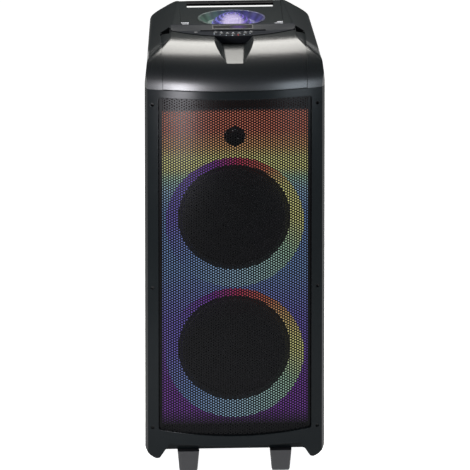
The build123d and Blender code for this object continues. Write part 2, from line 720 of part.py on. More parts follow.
def jacks():
    """Three jack sockets with blind bores."""
    with BuildPart() as sockets:
        for x, z in jack_places():
            add(
                turned(
                    [
                        (JACK_RADIUS, BACK_Y + 2), (JACK_BARREL + 2, BACK_Y + 2), (JACK_BARREL + 2, BACK_Y),
                        (JACK_BARREL, BACK_Y), (JACK_BARREL, BACK_Y - 24),
                        (0, BACK_Y - 24), (0, BACK_Y - 22), (JACK_RADIUS, BACK_Y - 22),
                    ],
                    z,
                    x,
                )
            )
    return sockets.part


def usb_socket():
    """Socket for a USB stick."""
    with BuildPart() as socket:
        with BuildSketch(Plane.XZ.offset(-BACK_Y - 0.8)):
            with Locations((0, JACK_Z - USB_DROP)):
                Rectangle(22, 13)
        extrude(amount=0.8)
        with BuildSketch(Plane.XZ.offset(-BACK_Y)):
            with Locations((0, JACK_Z - USB_DROP)):
                Rectangle(18, 10)
        extrude(amount=16)
        with BuildSketch(Plane.XZ.offset(-BACK_Y - 0.8)):
            with Locations((0, JACK_Z - USB_DROP)):
                Rectangle(13.4, 5.6)
        extrude(amount=13, mode=Mode.SUBTRACT)
    return socket.part


def power_inlet():
    """Mains inlet with three pins in its cavity."""
    with BuildPart() as inlet:
        with BuildSketch(Plane.XZ.offset(-BACK_Y - 2)):
            with Locations((0, INLET_Z)):
                RectangleRounded(48, 26, 3)
        extrude(amount=2)
        with BuildSketch(Plane.XZ.offset(-BACK_Y)):
            with Locations((0, INLET_Z)):
                Rectangle(28, 20)
        extrude(amount=22)
        with BuildSketch(Plane.XZ.offset(-BACK_Y - 2)):
            with Locations((0, INLET_Z)):
                RectangleRounded(25, 17, 2)
        extrude(amount=18, mode=Mode.SUBTRACT)
        with BuildSketch(Plane.XZ.offset(-BACK_Y + 17)):
            with Locations((-7, INLET_Z - 2), (7, INLET_Z - 2), (0, INLET_Z + 2)):
                Rectangle(2, 4)
        extrude(amount=-13)
    return inlet.part


def rocker_frame():
    """Bezel of the power rocker, with the holes of its pivot."""
    with BuildPart() as bezel:
        with BuildSketch(Plane.XZ.offset(-BACK_Y - 1.5)):
            with Locations((0, ROCKER_Z)):
                RectangleRounded(26, 19, 2)
        extrude(amount=1.5)
        with BuildSketch(Plane.XZ.offset(-BACK_Y)):
            with Locations((0, ROCKER_Z)):
                Rectangle(22, 15)
        extrude(amount=16)
        with BuildSketch(Plane.XZ.offset(-BACK_Y - 1.5)):
            with Locations((0, ROCKER_Z)):
                Rectangle(19, 12)
        extrude(amount=14, mode=Mode.SUBTRACT)
        with BuildSketch(Plane.XY.offset(ROCKER_Z - 8)):
            with Locations((0, BACK_Y - 4)):
                Circle(1.2 + RUNNING_GAP)
        extrude(amount=16, mode=Mode.SUBTRACT)
    return bezel.part


def power_rocker():
    """Rocker on an upright pin, tilted to its off side."""
    tilt = radians(ROCKER_TILT)
    pivot = Plane(origin=(0, BACK_Y - 4, ROCKER_Z), x_dir=(cos(tilt), sin(tilt), 0), z_dir=(0, 0, 1))
    with BuildPart() as rocker:
        with BuildSketch(pivot.offset(-5.4)):
            with BuildLine():
                Polyline((-8.6, 2), (-8.6, 5.2), (0, 3.8), (8.6, 5.2), (8.6, 2), (3, -4), (-3, -4), close=True)
            make_face()
        extrude(amount=10.8)
        with BuildSketch(pivot.offset(-7.2)):
            Circle(1.2)
        extrude(amount=14.4)
    return rocker.part


def amp_board():
    """Circuit board on posts behind the rear panel, with transformer, capacitors and a finned heat sink."""
    board_y = BACK_Y - AMP_STANDOFF
    with BuildPart() as amp:
        with BuildSketch(Plane.XZ.offset(-board_y)):
            with Locations((0, AMP_Z)):
                Rectangle(150, 150)
        extrude(amount=2)
        with BuildSketch(Plane.XZ.offset(-board_y)):
            with Locations((0, AMP_Z)):
                with GridLocations(136, 136, 2, 2):
                    Circle(3)
        extrude(amount=PANEL_THICK - AMP_STANDOFF)
        with BuildSketch(Plane.XZ.offset(-board_y + 2)):
            with Locations((-45, AMP_Z + 40)):
                Rectangle(44, 48)
        extrude(amount=34)
        with BuildSketch(Plane.XZ.offset(-board_y + 2)):
            with Locations((30, AMP_Z + 45)):
                with GridLocations(24, 24, 3, 2):
                    Circle(9)
        extrude(amount=25)
        with BuildSketch(Plane.XZ.offset(-board_y + 2)):
            with Locations((0, AMP_Z - 35)):
                Rectangle(130, 40)
        extrude(amount=4)
        with BuildSketch(Plane.XZ.offset(-board_y + 6)):
            with Locations((0, AMP_Z - 35)):
                with GridLocations(8, 1, 15, 1):
                    Rectangle(2, 40)
        extrude(amount=22)
    return amp.part


def battery_pack():
    """Sealed battery in its tray on the cabinet's floor."""
    floor_z = CABINET_LOW_Z + CABINET_WALL
    with BuildPart() as pack:
        with BuildSketch(Plane.XY.offset(floor_z)):
            with Locations((0, BACK_Y - 75)):
                Rectangle(170, 90)
        extrude(amount=3)
        with BuildSketch(Plane.XY.offset(floor_z + 3)):
            with Locations((0, BACK_Y - 75)):
                Rectangle(151, 65)
        extrude(amount=72)
        fillet(pack.edges().filter_by(Axis.Z).group_by(Axis.Z)[-1], 3)
        with BuildSketch(Plane.XY.offset(floor_z + 75)):
            with Locations((-60, BACK_Y - 75), (60, BACK_Y - 75)):
                Rectangle(5, 8)
        extrude(amount=6)
    return pack.part


# ---- top housing ---------------------------------------------------------------------------------
def edges_between(body, low_z, high_z):
    """Edges of a body between two heights."""
    def inside(edge):
        box = edge.bounding_box()
        return low_z < box.min.Z and box.max.Z < high_z + 0.1
    return body.edges().filter_by(inside)


def housing_block(inset, base_z, top_radius=0.0):
    """Form of the top housing moved in by inset and cut off at base_z."""
    low = SEAM_Z - 30
    forehead = DECK_Z - SEAM_Z
    half = WIDTH / 2 - inset
    waist = FRAME_BACK_WIDTH / 2 - inset
    back = CABINET_BACK_WIDTH / 2 - inset
    side_y = bulge_y(half, inset)
    with BuildPart() as block:
        with BuildSketch(Plane.YZ):
            start = FRONT_Y + inset
            centre_y = FRONT_Y + forehead
            radius = forehead - inset
            with BuildLine():
                Line((start, low), (start, SEAM_Z))
                ThreePointArc(
                    (start, SEAM_Z),
                    (centre_y - radius * cos(radians(45)), SEAM_Z + radius * sin(radians(45))),
                    (centre_y, DECK_Z - inset),
                )
                Polyline(
                    (centre_y, DECK_Z - inset), (BACK_Y + 20, DECK_Z - inset), (BACK_Y + 20, low), (start, low)
                )
            make_face()
        revolve(axis=Axis((0, BULGE_Y, 0), (0, 0, 1)))
        for y, side, shoulder, deck in (
            (FRONT_Y - 1, half + SIDE_SPREAD, half - SHOULDER_IN, half - DECK_IN_FRONT + inset * 0.6),
            (BACK_Y + 1, back, back - SHOULDER_IN_BACK, DECK_HALF - inset * 0.4),
        ):
            with BuildSketch(Plane.XZ.offset(-y)):
                with BuildLine():
                    Polyline(
                        (-side, low), (-side, SEAM_Z + SIDE_RISE), (-shoulder, SHOULDER_Z - inset * 0.5),
                        (-deck, DECK_Z - inset), (deck, DECK_Z - inset), (shoulder, SHOULDER_Z - inset * 0.5),
                        (side, SEAM_Z + SIDE_RISE), (side, low), close=True,
                    )
                make_face()
        loft(ruled=True, mode=Mode.INTERSECT)
        with BuildSketch(Plane.XY.offset(base_z)) as plan:
            with BuildLine():
                Polyline(
                    (-half, FRONT_Y - 1), (half, FRONT_Y - 1), (half, side_y), (waist, FRAME_BACK_Y),
                    (back, BACK_Y - inset), (-back, BACK_Y - inset), (-waist, FRAME_BACK_Y),
                    (-half, side_y), close=True,
                )
            make_face()
            fillet(plan.vertices().group_by(Axis.Y)[-1], REAR_CORNER - inset)
            add(corner_cut(inset), mode=Mode.SUBTRACT)
        extrude(amount=DECK_Z - base_z, mode=Mode.INTERSECT)
        if top_radius:
            deck = edges_between(block, DECK_Z - inset - 1, DECK_Z)
            shoulders = edges_between(block, SHOULDER_Z - inset - 6, SHOULDER_Z + 6)
            fillet(deck + [edge for edge in shoulders if edge.length > 100], top_radius)
    return block.part


def channel(extra):
    """Tapered trough from the forehead to under the console, grown by extra."""
    with BuildPart() as trough:
        for depth, floor_z, floor_half in ((10, SEAM_Z + 51, 15), (117, DECK_Z - 14, 24)):
            with BuildSketch(Plane.XZ.offset(-(FRONT_Y + depth))):
                low = floor_z - extra
                half = floor_half + extra
                with BuildLine():
                    Polyline((-half, low), (half, low), (half + 45, low + 45), (-half - 45, low + 45), close=True)
                make_face()
        loft()
    return trough.part


def console_plan(grow):
    """Plan of the console: straight at the back, bowed at the front."""
    half = CONSOLE_HALF + grow
    front = FRONT_Y + CONSOLE_FRONT - grow
    back = CONSOLE_BACK_Y + grow
    ends = front + CONSOLE_BOW
    with BuildSketch() as plan:
        with BuildLine():
            ThreePointArc((-half, ends), (0, front), (half, ends))
            Polyline((half, ends), (half, back), (-half, back), (-half, ends))
        make_face()
    return plan.sketch


def top_housing():
    """Moulded top with the forehead, cheeks, trough, console seat, bowl hole and hand opening."""
    void = housing_block(HOUSING_WALL, SEAM_Z - 1)
    rear = BACK_Y + 1
    with BuildPart() as guards:
        add(channel(3))
        with BuildSketch(Plane.XY.offset(CONSOLE_FLOOR_Z - 3)):
            add(console_plan(3))
        extrude(amount=60)
        add(slab(GRIP_HALF + 4, HAND_FRONT_Y - 4, rear, HAND_LOW_Z - 4, DECK_Z + 10))
        with BuildSketch(Plane.XY.offset(DECK_Z - POCKET_DROP - 4)):
            with Locations((-CONSOLE_HALF - 14, CONSOLE_BACK_Y), (CONSOLE_HALF + 14, CONSOLE_BACK_Y)):
                Rectangle(36, 40)
        extrude(amount=60)
    with BuildPart() as forehead_skin:
        add(slab(CHEEK_X, FRONT_Y - 1, CONSOLE_BACK_Y, SEAM_Z - 1, DECK_Z + 1))
        add(housing_block(FOREHEAD_STEP, SEAM_Z - 2, SHOULDER_RADIUS - FOREHEAD_STEP), mode=Mode.SUBTRACT)
    with BuildPart() as housing:
        add(housing_block(0, SEAM_Z, SHOULDER_RADIUS))
        add(void - guards.part, mode=Mode.SUBTRACT)
        add(forehead_skin.part, mode=Mode.SUBTRACT)
        add(channel(0), mode=Mode.SUBTRACT)
        with BuildSketch(Plane.XY.offset(CONSOLE_FLOOR_Z)):
            add(console_plan(FIT))
        extrude(amount=60, mode=Mode.SUBTRACT)
        add(slab(SINK_HALF, CONSOLE_BACK_Y, rear, SINK_Z, DECK_Z + 1), mode=Mode.SUBTRACT)
        add(slab(GRIP_HALF, HAND_FRONT_Y, rear, HAND_LOW_Z, DECK_Z + 10), mode=Mode.SUBTRACT)
        with BuildSketch(Plane.XY.offset(DECK_Z - 30)):
            with Locations((0, DOME_Y)):
                Ellipse(BOWL_HALF_X + FIT, BOWL_HALF_Y + FIT)
        extrude(amount=40, mode=Mode.SUBTRACT)
        with BuildSketch(Plane.XY.offset(DECK_Z - POCKET_DROP)):
            for side in (-1, 1):
                near, far, back = side * (CONSOLE_HALF + 2), side * (CONSOLE_HALF + 22), CONSOLE_BACK_Y + 9
                with BuildLine():
                    Polyline((near, back - 35), (far, back), (near, back), close=True)
                make_face()
        extrude(amount=POCKET_DROP + 5, mode=Mode.SUBTRACT)
        with BuildSketch(Plane.YZ.offset(-GRIP_HALF - GRIP_PIN_LONG - 1)):
            with Locations((GRIP_Y, GRIP_Z)):
                Circle(GRIP_PIN + PIN_FIT)
        extrude(amount=2 * (GRIP_HALF + GRIP_PIN_LONG + 1), mode=Mode.SUBTRACT)
    return housing.part


def handle_grip():
    """Carrying bar with a spigot at each end."""
    with BuildPart() as bar:
        with BuildSketch(Plane.YZ.offset(-GRIP_HALF)):
            with Locations((GRIP_Y, GRIP_Z)):
                RectangleRounded(GRIP_DEEP, GRIP_HIGH, GRIP_HIGH * 0.4)
        extrude(amount=2 * GRIP_HALF)
        with BuildSketch(Plane.YZ.offset(-GRIP_HALF - GRIP_PIN_LONG)):
            with Locations((GRIP_Y, GRIP_Z)):
                Circle(GRIP_PIN)
        extrude(amount=2 * (GRIP_HALF + GRIP_PIN_LONG))
    return bar.part


def button_places():
    """Plan places of the seven small buttons and the round one."""
    small = [(BUTTON_PITCH * i, FRONT_Y + 104 + (BUTTON_PITCH * i) ** 2 / 150) for i in range(-3, 4)]
    return small + [(ROUND_BUTTON_X, FRONT_Y + 115)]


def slope_plane(along):
    """Plane on the sloped face of the console, along being 0 at its foot and 1 at its head."""
    foot_y, head_y = FRONT_Y + SLOT_FRONT + SLOT_GAP, CONSOLE_BACK_Y - 4
    rise, run = CONSOLE_TOP_Z - LIP_Z, head_y - foot_y
    return Plane(
        origin=(0, foot_y + run * along, LIP_Z + rise * along), x_dir=(1, 0, 0), z_dir=(0, -rise, run)
    )


def control_panel():
    """Console with a stepped lip for the buttons, a slot for a tablet and a window seat."""
    with BuildPart() as console:
        with BuildSketch(Plane.XY.offset(CONSOLE_FLOOR_Z)):
            add(console_plan(0))
        extrude(amount=CONSOLE_TOP_Z - CONSOLE_FLOOR_Z)
        with BuildSketch(Plane.YZ):
            with BuildLine():
                Polyline(
                    (FRONT_Y + CONSOLE_FRONT - 5, LIP_Z), (FRONT_Y + SLOT_FRONT + SLOT_GAP, LIP_Z),
                    (CONSOLE_BACK_Y - 4, CONSOLE_TOP_Z), (CONSOLE_BACK_Y - 4, CONSOLE_TOP_Z + 9),
                    (FRONT_Y + CONSOLE_FRONT - 5, CONSOLE_TOP_Z + 9), close=True,
                )
            make_face()
        extrude(amount=WIDTH, both=True, mode=Mode.SUBTRACT)
        with BuildSketch(Plane.XY.offset(CONSOLE_FLOOR_Z)):
            add(console_plan(-3))
        extrude(amount=LIP_Z - CONSOLE_LID - CONSOLE_FLOOR_Z, mode=Mode.SUBTRACT)
        with BuildSketch(Plane.XY.offset(LIP_Z - SLOT_DEPTH)):
            with Locations((0, FRONT_Y + SLOT_FRONT + SLOT_GAP / 2)):
                Rectangle(SLOT_WIDTH, SLOT_GAP)
        extrude(amount=30, mode=Mode.SUBTRACT)
        with BuildSketch(slope_plane(0.5)):
            Rectangle(DISPLAY_WIDTH + 2 * FIT, DISPLAY_HEIGHT + 2 * FIT)
        extrude(amount=-DISPLAY_THICK, mode=Mode.SUBTRACT)
        with BuildSketch(Plane.XY.offset(CONSOLE_FLOOR_Z)):
            with Locations(*button_places()):
                Circle(BUTTON_RADIUS + FIT)
        extrude(amount=30, mode=Mode.SUBTRACT)
    return console.part


def display_window():
    """Clear pane in the console's slope."""
    with BuildPart() as pane:
        with BuildSketch(slope_plane(0.5)):
            Rectangle(DISPLAY_WIDTH, DISPLAY_HEIGHT)
        extrude(amount=-DISPLAY_THICK)
    return pane.part


def control_board():
    """Circuit board under the buttons, on four posts."""
    board_z = LIP_Z - CONSOLE_LID - 2 - BUTTON_TRAVEL - 0.4 - 1.6
    with BuildPart() as board:
        with BuildSketch(Plane.XY.offset(board_z)):
            with Locations((0, FRONT_Y + 108)):
                Rectangle(76, 18)
            with Locations((0, FRONT_Y + 124)):
                Rectangle(160, 22)
        extrude(amount=1.6)
        with BuildSketch(Plane.XY.offset(CONSOLE_FLOOR_Z)):
            with Locations((0, FRONT_Y + 128)):
                with GridLocations(150, 8, 2, 2):
                    Circle(2)
        extrude(amount=board_z - CONSOLE_FLOOR_Z)
    return board.part


def push_button(place):
    """Round button with a collar that keeps it under the console's lid."""
    under = LIP_Z - CONSOLE_LID
    with BuildPart() as button:
        with BuildSketch(Plane.XY.offset(under - 2)):
            with Locations(place):
                Circle(BUTTON_RADIUS + 1.4)
        extrude(amount=2 - FIT)
        with BuildSketch(Plane.XY.offset(under - FIT)):
            with Locations(place):
                Circle(BUTTON_RADIUS)
        extrude(amount=CONSOLE_LID + FIT + BUTTON_RISE)
        fillet(button.edges().filter_by(GeomType.CIRCLE).group_by(Axis.Z)[-1], 0.5)
    return button.part


def dome_bowl():
    """Oval dish round the dome, with a cup below it that carries the motor."""
    with BuildPart() as bowl:
        with BuildSketch(Plane.XY.offset(SINK_Z)):
            with Locations((0, DOME_Y)):
                Ellipse(BOWL_HALF_X + 2.5, BOWL_HALF_Y + 2.2)
        extrude(amount=1.2)
        with BuildSketch(Plane.XY.offset(DOME_LOW_Z - 8)):
            with Locations((0, DOME_Y)):
                Ellipse(BOWL_HALF_X, BOWL_HALF_Y)
        extrude(amount=SINK_Z - DOME_LOW_Z + 8)
        with BuildSketch(Plane.XY.offset(DOME_LOW_Z - 37)):
            with Locations((0, DOME_Y)):
                Circle(DOME_RADIUS + 4)
        extrude(amount=30)
        with BuildSketch(Plane.XY.offset(DOME_LOW_Z - 3)):
            with Locations((0, DOME_Y)):
                Ellipse(BOWL_HALF_X - 14, BOWL_HALF_Y - 3)
        with BuildSketch(Plane.XY.offset(SINK_Z + 1.2)):
            with Locations((0, DOME_Y)):
                Ellipse(BOWL_HALF_X - 1, BOWL_HALF_Y - 1)
        loft(mode=Mode.SUBTRACT)
        with BuildSketch(Plane.XY.offset(DOME_LOW_Z - 34)):
            with Locations((0, DOME_Y)):
                Circle(DOME_RADIUS + 1)
        extrude(amount=60, mode=Mode.SUBTRACT)
    return bowl.part


def dome_lens():
    """Faceted clear dome on a floor disc with a boss for the spindle."""
    rise = DOME_TOP_Z - DOME_LOW_Z
    with BuildPart() as dome:
        with BuildSketch(Plane.XZ.offset(-DOME_Y)):
            with BuildLine():
                ThreePointArc(*cap_arc(DOME_TOP_Z, DOME_RADIUS, -rise))
                Line((0, DOME_TOP_Z), (0, DOME_TOP_Z - 2))
                ThreePointArc(*cap_arc(DOME_TOP_Z - 2, DOME_RADIUS - 2, 2 - rise))
                Polyline(
                    (DOME_RADIUS - 2, DOME_LOW_Z), (DOME_RADIUS - 2, DOME_LOW_Z - 6), (0, DOME_LOW_Z - 6),
                    (0, DOME_LOW_Z - 8), (DOME_RADIUS, DOME_LOW_Z - 8), (DOME_RADIUS, DOME_LOW_Z),
                )
            make_face()
        revolve(axis=Axis((0, DOME_Y, 0), (0, 0, 1)))
        with BuildSketch(Plane.XY.offset(DOME_LOW_Z - 12)):
            with Locations((0, DOME_Y)):
                Circle(4)
                Circle(1.5, mode=Mode.SUBTRACT)
        extrude(amount=4)
    return dome.part


def dome_spindle():
    """Steel spindle that carries the dome."""
    with BuildPart() as spindle:
        with BuildSketch(Plane.XY.offset(DOME_LOW_Z - 28)):
            with Locations((0, DOME_Y)):
                Circle(1.5)
        extrude(amount=20)
    return spindle.part


def dome_motor():
    """Motor on the floor of the bowl's cup."""
    with BuildPart() as motor:
        with BuildSketch(Plane.XY.offset(DOME_LOW_Z - 34)):
            with Locations((0, DOME_Y)):
                Circle(14)
        extrude(amount=21)
        with BuildSketch(Plane.XY.offset(DOME_LOW_Z - 29)):
            with Locations((0, DOME_Y)):
                Circle(1.5 + RUNNING_GAP)
        extrude(amount=20, mode=Mode.SUBTRACT)
    return motor.part


# ---- feet and wheels -----------------------------------------------------------------------------
def front_feet():
    """Two tapered legs under the front frame."""
    with BuildPart() as feet:
        for side in (-1, 1):
            with BuildSketch(Plane.XY.offset(BASE_Z)):
                with Locations((side * FOOT_X, FRONT_Y + FOOT_IN)):
                    RectangleRounded(44, 40, 5)
            with BuildSketch(Plane.XY.offset(PAD_THICK)):
                with Locations((side * FOOT_X, FRONT_Y + FOOT_IN)):
                    RectangleRounded(37, 34, 5)
            loft()
    return feet.part


def foot_pads():
    """Rubber pads under the feet."""
    with BuildPart() as pads:
        with BuildSketch(Plane.XY):
            with Locations((-FOOT_X, FRONT_Y + FOOT_IN), (FOOT_X, FRONT_Y + FOOT_IN)):
                RectangleRounded(35, 32, 4)
        extrude(amount=PAD_THICK)
    return pads.part


def wheel_turned(points, side):
    """A closed outline of (radius, x from the wheel's middle) turned about the axle, for one side."""
    with BuildPart() as body:
        with BuildSketch(Plane.XY.offset(WHEEL_RADIUS)):
            with BuildLine():
                Polyline(*[(side * WHEEL_X + x, WHEEL_Y + r) for r, x in points], close=True)
            make_face()
        revolve(axis=Axis((0, WHEEL_Y, WHEEL_RADIUS), (1, 0, 0)))
    return body.part


def tyre(side):
    """Rubber tyre with a rounded tread."""
    half = WHEEL_WIDTH / 2
    rim = WHEEL_RADIUS - 10
    return wheel_turned(
        [
            (rim, -half), (WHEEL_RADIUS - 4, -half), (WHEEL_RADIUS - 1, -half + 3), (WHEEL_RADIUS, -half + 7),
            (WHEEL_RADIUS, half - 7), (WHEEL_RADIUS - 1, half - 3), (WHEEL_RADIUS - 4, half), (rim, half),
        ],
        side,
    )


def rim(side):
    """Rim with a hub, a web and six holes in the web."""
    half = WHEEL_WIDTH / 2
    bed = WHEEL_RADIUS - 10
    bore = AXLE_RADIUS + RUNNING_GAP
    with BuildPart() as wheel:
        add(
            wheel_turned(
                [
                    (bore, -half), (11, -half), (11, -3), (bed - 3, -3), (bed - 3, -half), (bed, -half),
                    (bed, half), (bed - 3, half), (bed - 3, 3), (11, 3), (11, half), (bore, half),
                ],
                side,
            )
        )
        with BuildSketch(Plane(origin=(side * WHEEL_X - 5, WHEEL_Y, WHEEL_RADIUS), z_dir=(1, 0, 0))):
            with PolarLocations(20, 6):
                Circle(5)
        extrude(amount=10, mode=Mode.SUBTRACT)
    return wheel.part


def wheel_axle():
    """Steel rod through both wheels, with a cap at each end."""
    end = WHEEL_X + WHEEL_WIDTH / 2 + END_PLAY
    with BuildPart() as axle:
        with BuildSketch(Plane.YZ.offset(-end)):
            with Locations((WHEEL_Y, WHEEL_RADIUS)):
                Circle(AXLE_RADIUS)
        extrude(amount=2 * end)
        with BuildSketch(Plane.YZ.offset(end)):
            with Locations((WHEEL_Y, WHEEL_RADIUS)):
                Circle(AXLE_CAP)
        extrude(amount=3)
        with BuildSketch(Plane.YZ.offset(-end)):
            with Locations((WHEEL_Y, WHEEL_RADIUS)):
                Circle(AXLE_CAP)
        extrude(amount=-3)
    return axle.part


def wheel_brackets():
    """Two plates under the cabinet that hold the axle."""
    plate = WHEEL_X - WHEEL_WIDTH / 2 - END_PLAY - BRACKET_X
    with BuildPart() as brackets:
        for side in (-1, 1):
            near = side * BRACKET_X if side > 0 else -BRACKET_X - plate
            with BuildSketch(Plane.YZ.offset(near)):
                with BuildLine():
                    Polyline(
                        (WHEEL_Y - 22, CABINET_LOW_Z), (WHEEL_Y - 12, WHEEL_RADIUS - 12),
                        (WHEEL_Y + 8, WHEEL_RADIUS - 12), (WHEEL_Y + 14, CABINET_LOW_Z), close=True,
                    )
                make_face()
                with Locations((WHEEL_Y, WHEEL_RADIUS)):
                    Circle(AXLE_RADIUS + 0.02, mode=Mode.SUBTRACT)
            extrude(amount=plate)
    return brackets.part


# ---- every node ----------------------------------------------------------------------------------
NODES = {
    "front_frame": front_frame,
    "grille": grille,
    "light_panel": light_panel,
    "led_strips": led_strips,
    "front_baffle": front_baffle,
    "tweeter_horn": tweeter_horn,
    "tweeter_dome": tweeter_dome,
    "tweeter_motor": tweeter_motor,
    "woofer_screws": woofer_screws,
    "frame_screws": frame_screws,
    "cabinet_shell": cabinet_shell,
    "rear_panel": rear_panel,
    "rear_panel_screws": rear_panel_screws,
    "port_tube": port_tube,
    "audio_jacks": jacks,
    "usb_socket": usb_socket,
    "power_inlet": power_inlet,
    "rocker_frame": rocker_frame,
    "power_rocker": power_rocker,
    "amp_board": amp_board,
    "battery_pack": battery_pack,
    "top_housing": top_housing,
    "handle_grip": handle_grip,
    "control_panel": control_panel,
    "display_window": display_window,
    "control_board": control_board,
    "dome_bowl": dome_bowl,
    "dome_lens": dome_lens,
    "dome_spindle": dome_spindle,
    "dome_motor": dome_motor,
    "front_feet": front_feet,
    "foot_pads": foot_pads,
    "wheel_axle": wheel_axle,
    "wheel_brackets": wheel_brackets,
}
WOOFER_PIECES = {
    "light_ring": light_ring,
    "basket": basket,
    "cone": cone,
    "surround": surround,
    "voice_coil": voice_coil,
    "spider": spider,
    "magnet": magnet,
}
BUTTON_NAMES = ("power", "source", "previous", "play", "next", "softer", "louder", "light")


def write(piece, label):
    """Label a piece and write its file."""
    piece.label = label
    export_step(piece, f"parts/{label}.step")


os.makedirs("parts", exist_ok=True)
for name, make in NODES.items():
    write(make(), name)
for position, centre_z in zip(("lower", "upper"), WOOFER_Z):
    for name, make in WOOFER_PIECES.items():
        write(make(centre_z), f"{position}_{name}")
for position, side in (("left", -1), ("right", 1)):
    write(tyre(side), f"{position}_tyre")
    write(rim(side), f"{position}_rim")
for name, place in zip(BUTTON_NAMES, button_places()):
    write(push_button(place), f"{name}_button")
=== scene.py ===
"""Looks of the party speaker: lit perforated front, moulded housing, glowing dome and wheeled cabinet."""

import logging
from dataclasses import dataclass
from enum import Enum
from math import cos, pi, radians, sin
from typing import Iterable, Sequence

import bmesh
import bpy
import numpy as np
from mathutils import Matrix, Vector

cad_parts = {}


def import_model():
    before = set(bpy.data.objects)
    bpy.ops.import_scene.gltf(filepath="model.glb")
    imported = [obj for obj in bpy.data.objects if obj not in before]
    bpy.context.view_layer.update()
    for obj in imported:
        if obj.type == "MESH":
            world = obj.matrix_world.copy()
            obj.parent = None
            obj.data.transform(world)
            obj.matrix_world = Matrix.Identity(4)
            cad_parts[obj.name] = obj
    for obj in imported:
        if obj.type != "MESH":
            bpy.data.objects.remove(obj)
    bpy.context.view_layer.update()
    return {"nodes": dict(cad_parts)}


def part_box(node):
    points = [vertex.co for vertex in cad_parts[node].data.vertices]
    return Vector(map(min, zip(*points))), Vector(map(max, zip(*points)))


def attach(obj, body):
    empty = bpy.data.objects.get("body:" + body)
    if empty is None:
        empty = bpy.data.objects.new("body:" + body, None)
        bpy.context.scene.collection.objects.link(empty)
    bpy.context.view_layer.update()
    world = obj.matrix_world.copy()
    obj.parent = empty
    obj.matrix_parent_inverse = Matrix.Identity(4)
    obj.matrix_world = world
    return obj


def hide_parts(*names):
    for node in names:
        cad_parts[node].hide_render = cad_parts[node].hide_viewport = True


LOG = logging.getLogger("party_speaker")
CABINET = "cabinet"
Colour = tuple[float, float, float]
Place = tuple[float, float, float]


def linear(red: int, green: int, blue: int) -> Colour:
    """Linear colour of a display colour: each part divided by 255 and raised to 2.2."""
    return tuple((part / 255) ** 2.2 for part in (red, green, blue))


# ---- shader maths --------------------------------------------------------------------------------
class Value:
    """A socket that takes part in arithmetic, each operator adding one Math node."""

    def __init__(self, shader: "Shader", socket: bpy.types.NodeSocket) -> None:
        """Keep the shader that owns the socket."""
        self.shader = shader
        self.socket = socket

    def math(self, operation: str, *others: "Value | float", first: "Value | float | None" = None) -> "Value":
        """Result of a Math node.

        Args:
            operation: name of the node's operation.
            others: operands after the first one.
            first: first operand, this value when it is None.

        Returns:
            The node's result as a value.
        """
        operands = (self if first is None else first, *others)
        made = self.shader.node("ShaderNodeMath", {"operation": operation}, dict(enumerate(operands)))
        return Value(self.shader, made.outputs[0])

    def __add__(self, other: "Value | float") -> "Value":
        """Sum."""
        return self.math("ADD", other)

    def __radd__(self, other: float) -> "Value":
        """Sum with a number in front."""
        return self.math("ADD", other)

    def __sub__(self, other: "Value | float") -> "Value":
        """Difference."""
        return self.math("SUBTRACT", other)

    def __rsub__(self, other: float) -> "Value":
        """Difference from a number."""
        return self.math("SUBTRACT", self, first=other)

    def __mul__(self, other: "Value | float") -> "Value":
        """Product."""
        return self.math("MULTIPLY", other)

    def __rmul__(self, other: float) -> "Value":
        """Product with a number in front."""
        return self.math("MULTIPLY", other)

    def __truediv__(self, other: "Value | float") -> "Value":
        """Quotient."""
        return self.math("DIVIDE", other)

    def __pow__(self, other: float) -> "Value":
        """Power."""
        return self.math("POWER", other)

    def sine(self) -> "Value":
        """Sine of the value in radians."""
        return self.math("SINE")

    def size(self) -> "Value":
        """Value without its sign."""
        return self.math("ABSOLUTE")

    def angle_to(self, other: "Value") -> "Value":
        """Angle whose tangent is this value over the other, from -pi to pi."""
        return self.math("ARCTAN2", other)

    def step(self, low: float, high: float) -> "Value":
        """Smooth step, rising where high is above low and falling where it is below.

        Args:
            low: value at which the step is 0.
            high: value at which the step is 1.

        Returns:
            The step, from 0 to 1.
        """
        made = self.shader.node(
            "ShaderNodeMapRange",
            {"interpolation_type": "SMOOTHSTEP"},
            {"Value": self, "From Min": min(low, high), "From Max": max(low, high),
             "To Min": float(low > high), "To Max": float(low <= high)},
        )
        return Value(self.shader, made.outputs["Result"])


